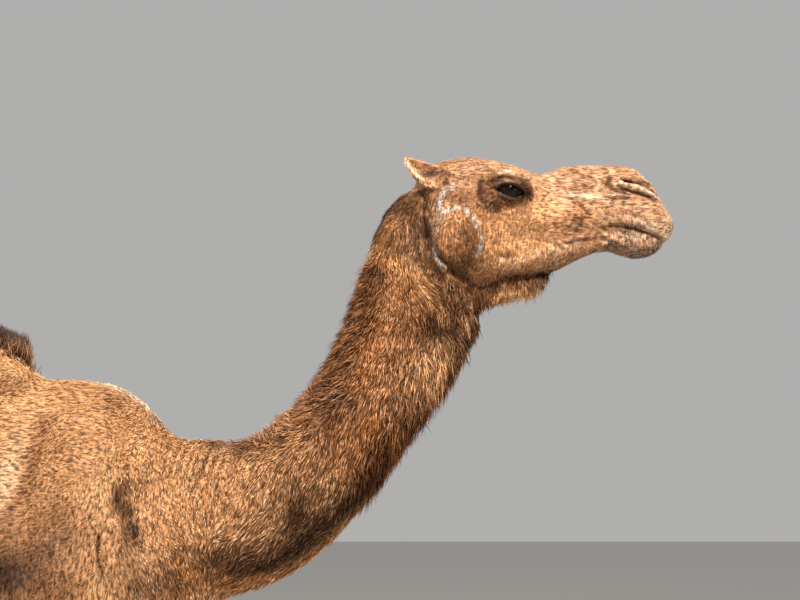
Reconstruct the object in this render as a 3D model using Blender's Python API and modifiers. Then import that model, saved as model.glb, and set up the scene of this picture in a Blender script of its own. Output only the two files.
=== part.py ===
"""A standing dromedary camel at life size, in metres, +Z up, looking along +X.

The flesh is blocked out as lofted tubes and ellipsoids, one for each mass of the body, and fused into one
skin with a voxel remesh. Thin cuts then part it where a person would name its parts. The outline is that of
the coat's tips, so the hair of the mane, beard, hump and tail is inside these solids.
"""

import math

import bmesh
import bpy
import numpy as np
from mathutils import Matrix, Vector

# ---------------------------------------------------------------- driving sizes, in metres
WITHERS_Z = 1.800  # top of the shoulders
HUMP_TOP_Z = 1.962
CROWN_Z = 2.263  # top of the head, at rest with the chin lifted
MUZZLE_X = 0.562  # foremost point of the upper lip
RUMP_X = -1.905
TAIL_TIP_Z = 0.880
CHEST_FLOOR_Z = 0.962  # underside of the chest, above the sternal pad
PAD_FLOOR_Z = 0.922
SOLE_Z = 0.0

EYE_AT = (0.2210, 0.0790, 2.1650)  # centre of the left eyeball
EYE_RADIUS = 0.0230
EAR_TIP = (0.0130, 0.1010, 2.2230)
FORELEG_X = -0.705
HINDLEG_X = -1.690
STRIDE = 0.055  # how far each leg of a pair stands ahead of, or behind, the other

FOREFOOT_SIZE = 1.08
HINDFOOT_SIZE = 0.97
ANKLE_Z = 0.150

CUT = 0.0004  # gap left by a parting cut
SEAT_GAP = 0.0004  # gap round a piece let into the flesh
VOXEL = 0.0075
HEAD_TRIANGLES = 1800
FEET_TRIANGLES = 500
BODY_TRIANGLES = 2150

PARTS = bpy.data.collections.new("dromedary_camel")
CUTTERS = bpy.data.collections.new("cutters")


# ---------------------------------------------------------------- scene and materials
def clear_scene():
    for obj in list(bpy.data.objects):
        bpy.data.objects.remove(obj)
    for collection in (PARTS, CUTTERS):
        bpy.context.scene.collection.children.link(collection)


def material(name, colour, roughness, metallic=0.0):
    made = bpy.data.materials.new(name)
    made.use_nodes = True
    shader = made.node_tree.nodes["Principled BSDF"]
    shader.inputs["Base Color"].default_value = (*colour, 1.0)
    shader.inputs["Roughness"].default_value = roughness
    shader.inputs["Metallic"].default_value = metallic
    made.diffuse_color = (*colour, 1.0)
    return made


def add_object(name, mesh, finish=None, collection=PARTS):
    obj = bpy.data.objects.new(name, mesh)
    collection.objects.link(obj)
    if finish:
        mesh.materials.clear()
        mesh.materials.append(finish)
    return obj


def evaluated_mesh(obj, name):
    """A new mesh of the object as its modifiers leave it."""
    graph = bpy.context.evaluated_depsgraph_get()
    graph.update()
    mesh = bpy.data.meshes.new_from_object(obj.evaluated_get(graph))
    mesh.name = name
    return mesh


def apply_modifiers(obj):
    mesh = evaluated_mesh(obj, obj.name)
    old = obj.data
    obj.modifiers.clear()
    obj.data = mesh
    bpy.data.meshes.remove(old)


# ---------------------------------------------------------------- curves through a few stations
def flowing(rows, count):
    """Rows of numbers at even spacing along a smooth curve through the given rows (Catmull-Rom)."""
    rows = np.array(rows, float)
    ends = np.vstack([2 * rows[0] - rows[1], rows, 2 * rows[-1] - rows[-2]])
    steps = np.linalg.norm(np.diff(rows[:, :3], axis=0), axis=1)
    along = np.concatenate([[0], np.cumsum(steps)])
    wanted = np.linspace(0, along[-1], count)
    found = []
    for s in wanted:
        i = min(int(np.searchsorted(along, s, side="right")) - 1, len(rows) - 2)
        t = (s - along[i]) / steps[i]
        a, b, c, d = ends[i : i + 4]
        found.append(
            0.5 * (2 * b + (c - a) * t + (2 * a - 5 * b + 4 * c - d) * t * t + (3 * b - a - 3 * c + d) * t**3)
        )
    return np.array(found)


def egg(up_reach, down_reach, half_width, roundness_up, roundness_down, sides):
    """Points (across, up) of an egg-shaped section: roundness 2 is an ellipse, more boxier, less keeled."""
    points = []
    for k in range(sides):
        angle = 2 * math.pi * k / sides
        c, s = math.cos(angle), math.sin(angle)
        power = 2 / (roundness_up if s > 0 else roundness_down)
        across = half_width * math.copysign(abs(c) ** power, c)
        up = (up_reach if s > 0 else down_reach) * math.copysign(abs(s) ** power, s)
        points.append((across, up))
    return points


def loft(name, rings):
    """A closed mesh through rings of points, with its two ends closed to their middles."""
    shape = bmesh.new()
    loops = [[shape.verts.new(p) for p in ring] for ring in rings]
    sides = len(loops[0])
    for low, high in zip(loops, loops[1:]):
        for k in range(sides):
            shape.faces.new((low[k], low[(k + 1) % sides], high[(k + 1) % sides], high[k]))
    for loop, turn in ((loops[0], -1), (loops[-1], 1)):
        middle = shape.verts.new(sum((v.co for v in loop), Vector()) / sides)
        for k in range(sides):
            pair = (loop[k], loop[(k + 1) % sides])[::turn]
            shape.faces.new((middle, *pair))
    bmesh.ops.recalc_face_normals(shape, faces=shape.faces)
    mesh = bpy.data.meshes.new(name)
    shape.to_mesh(mesh)
    shape.free()
    return mesh


def slices(name, stations, count=40, sides=36):
    """A loft of upright slices. Station: x, top z, bottom z, widest z, half width, roundness up and down."""
    rows = [(x, 0, 0, top, floor, wide, half, up, down) for x, top, floor, wide, half, up, down in stations]
    rings = []
    for x, _, _, top, floor, wide, half, up, down in flowing(rows, count):
        section = egg(top - wide, wide - floor, half, up, down, sides)
        rings.append([(x, across, wide + rise) for across, rise in section])
    return loft(name, rings)


def tube(name, stations, count=30, sides=24, roundness=2.0):
    """A tube square to its path. Station: x, y, z, reach ahead or above, behind or below, half width."""
    rows = flowing(stations, count)
    tangents = np.gradient(rows[:, :3], axis=0)
    rings = []
    for row, tangent in zip(rows, tangents):
        centre = Vector(row[:3])
        tangent = Vector(tangent).normalized()
        side = Vector((0, 1, 0))
        side = (side - side.dot(tangent) * tangent).normalized()
        ahead = tangent.cross(side).normalized()
        section = egg(row[3], row[4], row[5], roundness, roundness, sides)
        rings.append([centre + side * across + ahead * rise for across, rise in section])
    return loft(name, rings)


def ball(name, centre, radii, pitch=0.0, yaw=0.0, segments=32, rings=20):
    """An ellipsoid, pitched about Y and then turned about Z, in degrees."""
    shape = bmesh.new()
    bmesh.ops.create_uvsphere(shape, u_segments=segments, v_segments=rings, radius=1.0)
    turn = Matrix.Rotation(math.radians(yaw), 4, "Z") @ Matrix.Rotation(math.radians(pitch), 4, "Y")
    bmesh.ops.transform(
        shape,
        matrix=Matrix.Translation(centre) @ turn @ Matrix.Diagonal((*radii, 1.0)),
        verts=shape.verts,
    )
    mesh = bpy.data.meshes.new(name)
    shape.to_mesh(mesh)
    shape.free()
    return mesh


# ---------------------------------------------------------------- the masses of the body
def trunk_form():
    return slices(
        "trunk_form",
        [
            (-0.345, 1.560, 1.330, 1.440, 0.070, 2.0, 2.0),
            (-0.400, 1.645, 1.215, 1.430, 0.120, 2.0, 2.0),
            (-0.480, 1.727, 1.090, 1.400, 0.162, 1.9, 2.0),
            (-0.560, 1.786, 1.015, 1.370, 0.190, 1.6, 2.0),
            (-0.640, 1.797, 0.975, 1.340, 0.208, 1.45, 2.1),
            (-0.760, WITHERS_Z, CHEST_FLOOR_Z, 1.320, 0.228, 1.45, 2.1),
            (-0.920, 1.785, 0.982, 1.330, 0.262, 1.6, 2.1),
            (-1.100, 1.770, 1.028, 1.350, 0.285, 1.7, 2.1),
            (-1.280, 1.752, 1.100, 1.380, 0.272, 1.75, 2.1),
            (-1.430, 1.735, 1.180, 1.430, 0.232, 1.8, 2.0),
            (-1.560, 1.716, 1.230, 1.480, 0.196, 1.9, 2.0),
            (-1.700, 1.668, 1.260, 1.490, 0.165, 1.8, 2.0),
            (-1.820, 1.588, 1.320, 1.470, 0.115, 1.9, 2.0),
            (RUMP_X + 0.02, 1.500, 1.390, 1.445, 0.050, 2.0, 2.0),
        ],
        count=60,
        sides=48,
    )


def hump_form():
    """The low mound of the hump, which runs out into the back."""
    return slices(
        "hump_form",
        [
            (-0.735, 1.800, 1.600, 1.700, 0.040, 2.0, 2.0),
            (-0.800, 1.855, 1.560, 1.690, 0.105, 1.8, 2.0),
            (-0.900, 1.905, 1.530, 1.675, 0.145, 1.7, 2.0),
            (-1.020, 1.935, 1.500, 1.665, 0.172, 1.6, 2.0),
            (-1.140, 1.925, 1.490, 1.660, 0.178, 1.6, 2.0),
            (-1.260, 1.868, 1.500, 1.660, 0.162, 1.7, 2.0),
            (-1.370, 1.795, 1.540, 1.660, 0.125, 1.8, 2.0),
            (-1.470, 1.735, 1.580, 1.665, 0.070, 2.0, 2.0),
        ],
        count=36,
        sides=40,
    )


def hump_brush_form():
    """The brush of curled hair that stands on the crest of the hump, steep in front."""
    return slices(
        "hump_brush_form",
        [
            (-0.722, 1.818, 1.740, 1.780, 0.035, 2.0, 2.0),
            (-0.740, 1.868, 1.730, 1.785, 0.066, 2.2, 2.0),
            (-0.776, 1.900, 1.720, 1.795, 0.090, 2.2, 2.0),
            (-0.850, 1.928, 1.740, 1.825, 0.108, 2.1, 2.0),
            (-0.960, 1.958, 1.780, 1.855, 0.114, 2.0, 2.0),
            (-1.050, HUMP_TOP_Z, 1.800, 1.865, 0.112, 2.0, 2.0),
            (-1.150, 1.943, 1.790, 1.860, 0.100, 2.0, 2.0),
            (-1.240, 1.888, 1.770, 1.820, 0.066, 2.0, 2.0),
        ],
        count=30,
    )


def neck_form():
    """The long S of the neck, with the mane along its back and the hair down its front."""
    return tube(
        "neck_form",
        [
            (-0.620, 0, 1.420, 0.200, 0.250, 0.130),
            (-0.500, 0, 1.480, 0.200, 0.215, 0.135),
            (-0.400, 0, 1.517, 0.172, 0.165, 0.124),
            (-0.305, 0, 1.535, 0.153, 0.143, 0.112),
            (-0.215, 0, 1.580, 0.138, 0.132, 0.101),
            (-0.130, 0, 1.662, 0.122, 0.122, 0.092),
            (-0.055, 0, 1.765, 0.121, 0.119, 0.086),
            (0.002, 0, 1.872, 0.130, 0.127, 0.084),
            (0.034, 0, 1.960, 0.134, 0.132, 0.080),
            (0.052, 0, 2.030, 0.118, 0.122, 0.076),
            (0.068, 0, 2.095, 0.080, 0.098, 0.068),
        ],
        count=56,
        sides=32,
    )


def skull_form():
    """Crown, forehead, nose bridge and upper lip."""
    return slices(
        "skull_form",
        [
            (-0.030, 2.140, 1.985, 2.065, 0.048, 2.0, 2.0),
            (0.015, 2.196, 1.975, 2.090, 0.066, 2.0, 2.0),
            (0.065, 2.246, 1.985, 2.112, 0.078, 2.1, 2.0),
            (0.130, CROWN_Z, 2.000, 2.125, 0.083, 2.1, 2.1),
            (0.185, 2.257, 2.010, 2.140, 0.083, 2.2, 2.1),
            (0.240, 2.238, 2.025, 2.140, 0.076, 2.2, 2.1),
            (0.292, 2.223, 2.050, 2.132, 0.064, 2.0, 2.2),
            (0.345, 2.238, 2.074, 2.130, 0.053, 1.9, 2.3),
            (0.400, 2.246, 2.086, 2.132, 0.048, 1.9, 2.5),
            (0.455, 2.245, 2.090, 2.138, 0.052, 2.0, 2.6),
            (0.500, 2.227, 2.088, 2.136, 0.054, 2.0, 2.6),
            (0.532, 2.180, 2.087, 2.130, 0.046, 2.1, 2.5),
            (0.553, 2.138, 2.090, 2.116, 0.031, 2.2, 2.3),
            (MUZZLE_X, 2.118, 2.098, 2.108, 0.012, 2.0, 2.0),
        ],
        count=60,
        sides=40,
    )


def jaw_form():
    """Lower jaw, from its deep rear angle to the hanging lower lip."""
    return slices(
        "jaw_form",
        [
            (0.060, 2.110, 2.010, 2.055, 0.040, 2.0, 2.0),
            (0.105, 2.130, 1.978, 2.055, 0.066, 2.0, 2.0),
            (0.160, 2.130, 1.976, 2.050, 0.074, 2.0, 2.1),
            (0.225, 2.110, 1.996, 2.050, 0.064, 2.0, 2.1),
            (0.300, 2.095, 2.012, 2.050, 0.049, 2.0, 2.0),
            (0.370, 2.087, 2.044, 2.064, 0.040, 2.0, 2.0),
            (0.415, 2.086, 2.062, 2.074, 0.036, 2.0, 2.0),
            (0.455, 2.090, 2.057, 2.073, 0.041, 2.2, 2.0),
            (0.495, 2.091, 2.048, 2.068, 0.041, 2.2, 2.0),
            (0.525, 2.089, 2.056, 2.071, 0.031, 2.2, 2.0),
            (0.542, 2.086, 2.068, 2.077, 0.014, 2.0, 2.0),
        ],
        count=48,
        sides=32,
    )


def face_forms(side):
    """What stands out of the lofted head on one side."""
    return [
        ball("brow", (0.216, side * 0.073, 2.189), (0.052, 0.027, 0.026), pitch=8),
        ball("eye_mound", (0.221, side * 0.070, 2.166), (0.044, 0.034, 0.034)),
        ball("cheek_bone", (0.190, side * 0.064, 2.132), (0.082, 0.026, 0.020), pitch=10),
        ball("face_crest", (0.300, side * 0.046, 2.128), (0.080, 0.020, 0.018), pitch=4),
        ball("jaw_muscle", (0.112, side * 0.062, 2.066), (0.052, 0.034, 0.067), pitch=-8),
        ball("nostril_wing", (0.488, side * 0.034, 2.180), (0.042, 0.018, 0.025), pitch=22),
        ball("lip_pad", (0.490, side * 0.030, 2.116), (0.066, 0.026, 0.027), pitch=8),
        ball("chin_pad", (0.490, side * 0.020, 2.067), (0.042, 0.022, 0.019)),
        ball("ear_seat", (0.086, side * 0.058, 2.192), (0.028, 0.019, 0.022)),
    ]


def bone_forms(side):
    """Where bone stands under the hide of the hindquarters and elbow."""
    return [
        ball("hip_point", (-1.530, side * 0.128, 1.598), (0.085, 0.056, 0.055), pitch=-15),
        ball("seat_bone", (-1.800, side * 0.066, 1.500), (0.060, 0.044, 0.075), pitch=-20),
        ball("elbow_point", (-0.805, side * 0.172, 1.085), (0.042, 0.036, 0.055)),
        ball("kneecap", (-1.445, side * 0.150, 1.110), (0.050, 0.045, 0.075), pitch=-15),
    ]


def beard_form():
    """The fringe of hair under the jaw and down the throat."""
    return tube(
        "beard_form",
        [
            (0.325, 0, 2.028, 0.014, 0.012, 0.018),
            (0.275, 0, 2.002, 0.020, 0.016, 0.026),
            (0.220, 0, 1.982, 0.028, 0.020, 0.032),
            (0.170, 0, 1.950, 0.030, 0.030, 0.036),
            (0.125, 0, 1.905, 0.040, 0.042, 0.045),
        ],
        count=20,
        sides=20,
    )


def shoulder_form(side):
    """Shoulder blade and the muscle over it, down to the point of the shoulder."""
    return tube(
        "shoulder_form",
        [
            (-0.625, side * 0.060, 1.725, 0.085, 0.100, 0.040),
            (-0.600, side * 0.105, 1.620, 0.095, 0.120, 0.060),
            (-0.560, side * 0.140, 1.480, 0.090, 0.130, 0.068),
            (-0.520, side * 0.155, 1.350, 0.088, 0.120, 0.066),
            (-0.545, side * 0.158, 1.230, 0.085, 0.110, 0.064),
        ],
    )


def foreleg_path(side):
    """x, y, z, reach ahead, reach behind, half width: from the upper arm down to the pastern."""
    step = -side * STRIDE
    foot_x = FORELEG_X + step
    return [
        (-0.560, side * 0.152, 1.300, 0.095, 0.120, 0.060),
        (-0.640, side * 0.164, 1.180, 0.100, 0.125, 0.066),
        (-0.700 + 0.25 * step, side * 0.164, 1.060, 0.088, 0.100, 0.062),
        (-0.706 + 0.40 * step, side * 0.160, 0.940, 0.072, 0.078, 0.056),
        (-0.703 + 0.55 * step, side * 0.153, 0.800, 0.060, 0.060, 0.049),
        (-0.700 + 0.72 * step, side * 0.147, 0.660, 0.050, 0.048, 0.045),
        (-0.700 + 0.80 * step, side * 0.144, 0.575, 0.062, 0.050, 0.055),
        (-0.703 + 0.86 * step, side * 0.142, 0.500, 0.052, 0.048, 0.050),
        (-0.708 + 0.92 * step, side * 0.139, 0.415, 0.036, 0.040, 0.036),
        (foot_x - 0.004, side * 0.137, 0.280, 0.032, 0.038, 0.034),
        (foot_x - 0.002, side * 0.135, 0.180, 0.043, 0.048, 0.047),
        (foot_x + 0.014, side * 0.134, 0.115, 0.042, 0.044, 0.047),
        (foot_x + 0.026, side * 0.134, 0.065, 0.056, 0.058, 0.060),
    ]


def hindleg_path(side):
    step = side * STRIDE
    foot_x = HINDLEG_X + step
    return [
        (-1.640, side * 0.080, 1.570, 0.110, 0.150, 0.060),
        (-1.625, side * 0.112, 1.440, 0.160, 0.195, 0.082),
        (-1.585, side * 0.134, 1.310, 0.160, 0.200, 0.088),
        (-1.548, side * 0.142, 1.190, 0.135, 0.175, 0.080),
        (-1.530 + 0.2 * step, side * 0.144, 1.080, 0.110, 0.135, 0.068),
        (-1.555 + 0.3 * step, side * 0.143, 0.960, 0.080, 0.095, 0.056),
        (-1.618 + 0.4 * step, side * 0.140, 0.820, 0.056, 0.068, 0.045),
        (-1.678 + 0.5 * step, side * 0.137, 0.710, 0.045, 0.064, 0.041),
        (-1.712 + 0.65 * step, side * 0.136, 0.625, 0.044, 0.060, 0.040),
        (-1.716 + 0.8 * step, side * 0.136, 0.540, 0.038, 0.042, 0.035),
        (-1.708 + 0.9 * step, side * 0.135, 0.430, 0.032, 0.034, 0.031),
        (foot_x - 0.010, side * 0.133, 0.290, 0.030, 0.034, 0.031),
        (foot_x - 0.004, side * 0.132, 0.180, 0.040, 0.044, 0.043),
        (foot_x + 0.012, side * 0.131, 0.115, 0.039, 0.041, 0.043),
        (foot_x + 0.024, side * 0.131, 0.065, 0.051, 0.053, 0.054),
    ]


def foot_forms(path, size):
    """A broad soft pad with two short toes in front. It reaches below the floor, where it is cut flat."""
    x, y = path[-1][0] + 0.018 * size, path[-1][1]
    forms = [
        ball("pad", (x, y, 0.016), (0.100 * size, 0.090 * size, 0.044)),
        ball("instep", (x + 0.012, y, 0.050), (0.074 * size, 0.066 * size, 0.042), pitch=10),
    ]
    for across in (1, -1):
        forms.append(
            ball(
                "toe",
                (x + 0.060 * size, y + across * 0.040 * size, 0.026),
                (0.054 * size, 0.036 * size, 0.036),
                yaw=across * 8,
            )
        )
    return forms


def tail_form():
    return tube(
        "tail_form",
        [
            (-1.820, 0, 1.540, 0.040, 0.040, 0.040),
            (-1.885, 0, 1.490, 0.034, 0.036, 0.034),
            (-1.930, 0, 1.410, 0.028, 0.030, 0.028),
            (-1.950, 0, 1.290, 0.024, 0.025, 0.025),
            (-1.955, 0, 1.150, 0.024, 0.025, 0.031),
            (-1.950, 0, 1.020, 0.025, 0.027, 0.034),
            (-1.943, 0, 0.930, 0.020, 0.022, 0.026),
            (-1.938, 0, TAIL_TIP_Z, 0.007, 0.007, 0.009),
        ],
        count=36,
        sides=20,
    )


# ---------------------------------------------------------------- fusing and modelling the flesh
def fuse(name, meshes, voxel):
    """One closed skin round all the forms, smoothed where they run into each other."""
    whole = bmesh.new()
    for mesh in meshes:
        whole.from_mesh(mesh)
        bpy.data.meshes.remove(mesh)
    joined = bpy.data.meshes.new(name)
    whole.to_mesh(joined)
    whole.free()
    obj = add_object(name, joined)
    remesh = obj.modifiers.new("one_skin", "REMESH")
    remesh.mode = "VOXEL"
    remesh.voxel_size = voxel
    soften = obj.modifiers.new("soften", "SMOOTH")
    soften.factor = 0.5
    soften.iterations = 7
    apply_modifiers(obj)
    return obj


def press(obj, centre, radii, depth, pitch=0.0, mirrored=True):
    """Pushes the surface in (depth > 0) or out along its normals, over a soft-edged ellipsoid."""
    mesh = obj.data
    count = len(mesh.vertices)
    points = np.empty(count * 3)
    normals = np.empty(count * 3)
    mesh.vertices.foreach_get("co", points)
    mesh.vertices.foreach_get("normal", normals)
    points, normals = points.reshape(-1, 3), normals.reshape(-1, 3)
    c, s = math.cos(math.radians(pitch)), math.sin(math.radians(pitch))
    moved = points.copy()
    for side in (1, -1) if mirrored else (1,):
        away = points - np.array([centre[0], side * centre[1], centre[2]])
        along = away[:, 0] * c - away[:, 2] * s
        up = away[:, 0] * s + away[:, 2] * c
        reach = (along / radii[0]) ** 2 + (away[:, 1] / radii[1]) ** 2 + (up / radii[2]) ** 2
        moved -= normals * (depth * np.exp(-1.6 * reach))[:, None]
    mesh.vertices.foreach_set("co", moved.ravel())
    mesh.update()


def model_hollows(flesh):
    """The hollows and swells that read at a distance: centre, radii, depth in, pitch in degrees."""
    for centre, radii, depth, pitch in (
        ((-0.470, 0.150, 1.540), (0.028, 0.10, 0.110), 0.016, 8),  # groove in front of the shoulder
        ((-0.800, 0.220, 1.480), (0.060, 0.12, 0.150), 0.012, 0),  # behind the shoulder blade
        ((-0.600, 0.110, 1.640), (0.020, 0.08, 0.120), -0.008, -12),  # spine of the shoulder blade
        ((-1.430, 0.230, 1.470), (0.080, 0.12, 0.110), 0.022, 0),  # flank
        ((-1.470, 0.120, 1.130), (0.060, 0.10, 0.060), 0.014, 0),  # fold of the flank
        ((0.221, 0.104, 2.164), (0.027, 0.03, 0.013), 0.008, 5),  # opening of the eyelids
        ((0.145, 0.078, 2.190), (0.030, 0.03, 0.020), 0.008, 0),  # temple
        ((0.315, 0.062, 2.150), (0.050, 0.04, 0.030), 0.006, 0),  # side of the nose bridge
        ((0.195, 0.080, 2.062), (0.022, 0.03, 0.045), 0.007, 0),  # in front of the jaw muscle
        ((0.392, 0.052, 2.120), (0.014, 0.03, 0.034), 0.007, -12),  # fold behind the upper lip
        ((0.490, 0.050, 2.172), (0.045, 0.02, 0.008), 0.004, 22),  # slit of the nostril
        ((-0.020, 0.080, 1.900), (0.060, 0.05, 0.120), 0.007, -24),  # jugular furrow
    ):
        press(flesh, centre, radii, depth, pitch)
    press(flesh, (0.560, 0.0, 2.120), (0.03, 0.006, 0.03), 0.006, mirrored=False)  # cleft of the upper lip


def simplify_region(flesh, triangles, inside):
    """Simplifies only the region where inside(x, y, z) holds, down to so many triangles."""
    group = flesh.vertex_groups.new(name="region")
    chosen = [v.index for v in flesh.data.vertices if inside(*v.co)]
    group.add(chosen, 1.0, "REPLACE")
    member = set(chosen)
    total = sum(len(face.vertices) - 2 for face in flesh.data.polygons)
    within = sum(len(face.vertices) - 2 for face in flesh.data.polygons if face.vertices[0] in member)
    simplify = flesh.modifiers.new("simplify", "DECIMATE")
    simplify.ratio = (total - within + triangles) / total
    simplify.vertex_group = group.name
    simplify.vertex_group_factor = 1.0
    apply_modifiers(flesh)
    flesh.vertex_groups.clear()


def simplify_flesh(flesh):
    """The head and feet keep small triangles, and the rest of the body takes large ones."""

    def in_head(x, y, z):
        return z > 2.06 - 0.70 * x

    def in_foot(x, y, z):
        return z < 0.14

    simplify_region(flesh, HEAD_TRIANGLES, in_head)
    simplify_region(flesh, FEET_TRIANGLES, in_foot)
    simplify_region(flesh, BODY_TRIANGLES, lambda x, y, z: not in_head(x, y, z) and not in_foot(x, y, z))


def make_flesh():
    forms = [trunk_form(), hump_form(), hump_brush_form(), neck_form()]
    forms += [skull_form(), jaw_form(), beard_form(), tail_form()]
    forms.append(ball("sternal_pad", (-0.700, 0, 0.972), (0.105, 0.075, 0.050)))
    for side in (1, -1):
        fore, hind = foreleg_path(side), hindleg_path(side)
        forms += face_forms(side) + bone_forms(side)
        forms.append(shoulder_form(side))
        forms.append(tube("foreleg", fore, count=56))
        forms.append(tube("hindleg", hind, count=56))
        forms += foot_forms(fore, FOREFOOT_SIZE) + foot_forms(hind, HINDFOOT_SIZE)
    flesh = fuse("flesh", forms, VOXEL)
    model_hollows(flesh)
    simplify_flesh(flesh)
    return flesh


# ---------------------------------------------------------------- parting
def block(outline, low=-0.6, high=0.6):
    """A cutter: an outline of (x, z) points in side view, carried across in y from low to high."""
    shape = bmesh.new()
    face = shape.faces.new([shape.verts.new((x, low, z)) for x, z in outline])
    moved = bmesh.ops.extrude_face_region(shape, geom=[face])["geom"]
    carried = [item for item in moved if isinstance(item, bmesh.types.BMVert)]
    bmesh.ops.translate(shape, vec=(0, high - low, 0), verts=carried)
    bmesh.ops.recalc_face_normals(shape, faces=shape.faces)
    mesh = bpy.data.meshes.new("block")
    shape.to_mesh(mesh)
    shape.free()
    return add_cutter("block", mesh)


def add_cutter(name, mesh):
    cutter = add_object(name, mesh, collection=CUTTERS)
    cutter.hide_render = True
    cutter.display_type = "WIRE"
    return cutter


def grown(obj, by):
    """A copy of the object whose every face has moved out by the same small distance."""
    shape = bmesh.new()
    shape.from_mesh(obj.data)
    shape.normal_update()
    moved = [vertex.co + vertex.normal * (by * vertex.calc_shell_factor()) for vertex in shape.verts]
    for vertex, place in zip(shape.verts, moved):
        vertex.co = place
    mesh = bpy.data.meshes.new(obj.name + "_grown")
    shape.to_mesh(mesh)
    shape.free()
    return add_cutter(mesh.name, mesh)


def cut(obj, cutter, operation):
    """Cuts with a helper, which is then done with."""
    boolean = obj.modifiers.new(operation.lower(), "BOOLEAN")
    boolean.solver = "EXACT"
    boolean.operation = operation
    boolean.object = cutter
    apply_modifiers(obj)
    bpy.data.objects.remove(cutter)


def part_off(flesh, name, inner, finish):
    """Takes what lies inside the block off the flesh as a new object, and leaves a thin gap between them."""
    outer = grown(inner, CUT)
    piece = add_object(name, flesh.data.copy(), finish)
    cut(piece, inner, "INTERSECT")
    cut(flesh, outer, "DIFFERENCE")
    return piece


def seat(body, piece):
    """Lets a piece into a body: the body gets a pocket a hair wider than the piece."""
    cut(body, grown(piece, SEAT_GAP), "DIFFERENCE")


# ---------------------------------------------------------------- eyes, ears and nails
def make_eye(side, finish):
    x, y, z = EYE_AT
    mesh = ball("eye", (x, side * y, z), (EYE_RADIUS,) * 3, segments=12, rings=7)
    return add_object("eye_left" if side > 0 else "eye_right", mesh, finish)


def make_ear(side, finish):
    """A short pointed leaf of an ear, laid back, with its hollow turned out and its edges rolled."""
    length, widest, wall, cup = 0.086, 0.0195, 0.0042, 0.011
    lie = Vector((-0.855, side * 0.405, 0.333)).normalized()  # root to tip
    out = Vector((-0.20, side * 0.90, -0.40))  # the way the hollow faces
    out = (out - out.dot(lie) * lie).normalized()
    across = lie.cross(out)
    tip = Vector((EAR_TIP[0], side * EAR_TIP[1], EAR_TIP[2]))
    rings = []
    steps, sides = 9, 7
    for i in range(steps):
        t = i / (steps - 1)
        away = (t - 0.42) / (0.42 if t < 0.42 else 0.58)
        width = widest * (1 - 0.45 * away * away if t < 0.42 else 1 - 0.93 * abs(away) ** 1.7)
        depth = cup * (1 - t) * (0.4 + 0.6 * min(t * 4, 1))
        centre = tip - lie * (length * (1 - t))
        ring = []
        for face, order in ((1, range(sides)), (-1, reversed(range(sides)))):
            for k in order:
                s = 2 * k / (sides - 1) - 1
                hollow = -depth * (1 - s * s)
                thick = wall * (1 - 0.35 * t) * (1 - 0.5 * abs(s) ** 3)
                ring.append(centre + across * (width * s) + out * (hollow + face * thick))
        rings.append(ring)
    mesh = loft("ear", rings)
    return add_object("ear_left" if side > 0 else "ear_right", mesh, finish)


def make_nail(name, path, size, across, finish):
    """A short, arched nail on the front of one toe."""
    x, y = path[-1][0] + 0.018 * size, path[-1][1]
    tip = (x + 0.103 * size, y + across * 0.047 * size, 0.030)
    radii = (0.0170 * size, 0.0145 * size, 0.018)
    mesh = ball(name, tip, radii, pitch=12, yaw=across * 8, segments=8, rings=5)
    return add_object(name, mesh, finish)


def half_block(outline, side, inner_y):
    """A block on one side of the body only, from inner_y outwards."""
    return block(outline, *sorted((side * inner_y, side * 0.45)))


def box_below(top, x_low, x_high):
    return [(x_low, top), (x_low, -0.1), (x_high, -0.1), (x_high, top)]


def foreleg_block(side):
    """All of one foreleg below the chest, and above that only what stands outside the chest wall."""
    whole = half_block(box_below(0.900, -1.0, -0.35), side, CUT)
    arm = [(-0.845, 1.070), (-0.845, 0.800), (-0.570, 0.800), (-0.570, 1.085)]
    cut(whole, half_block(arm, side, 0.100), "UNION")
    return whole


def hindleg_block(side):
    """One hind leg below a slanting line from the stifle to the seat bone."""
    return half_block([(-1.30, 1.03), (-1.871, 1.302), (-1.871, -0.1), (-1.30, -0.1)], side, CUT)


def part_legs(flesh, finish, nail_finish):
    """Each leg in three lengths, with two nails let into each foot."""
    for side, hand in ((1, "left"), (-1, "right")):
        for pair, whole, path, size, knee_z in (
            ("fore", foreleg_block(side), foreleg_path(side), FOREFOOT_SIZE, 0.600),
            ("hind", hindleg_block(side), hindleg_path(side), HINDFOOT_SIZE, 0.700),
        ):
            ankle_x = path[-3][0]
            reach = (ankle_x - 0.4, ankle_x + 0.4)
            upper = part_off(flesh, f"{pair}leg_{hand}_upper", whole, finish)
            lower = part_off(upper, f"{pair}leg_{hand}_lower", block(box_below(knee_z, *reach)), finish)
            foot = part_off(lower, f"{pair}foot_{hand}", block(box_below(ANKLE_Z, *reach)), finish)
            cut(foot, block([(-3, SOLE_Z), (1, SOLE_Z), (1, 3), (-3, 3)]), "INTERSECT")
            for across, which in ((side, "outer"), (-side, "inner")):
                nail = make_nail(f"{pair}foot_{hand}_nail_{which}", path, size, across, nail_finish)
                seat(foot, nail)


def centre_on_floor():
    """Moves everything so that the origin is on the floor under the middle of the whole."""
    reach = [vertex.co.x for obj in PARTS.objects for vertex in obj.data.vertices]
    shift = Matrix.Translation((-(min(reach) + max(reach)) / 2, 0, 0))
    for obj in PARTS.objects:
        obj.data.transform(shift)


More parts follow.
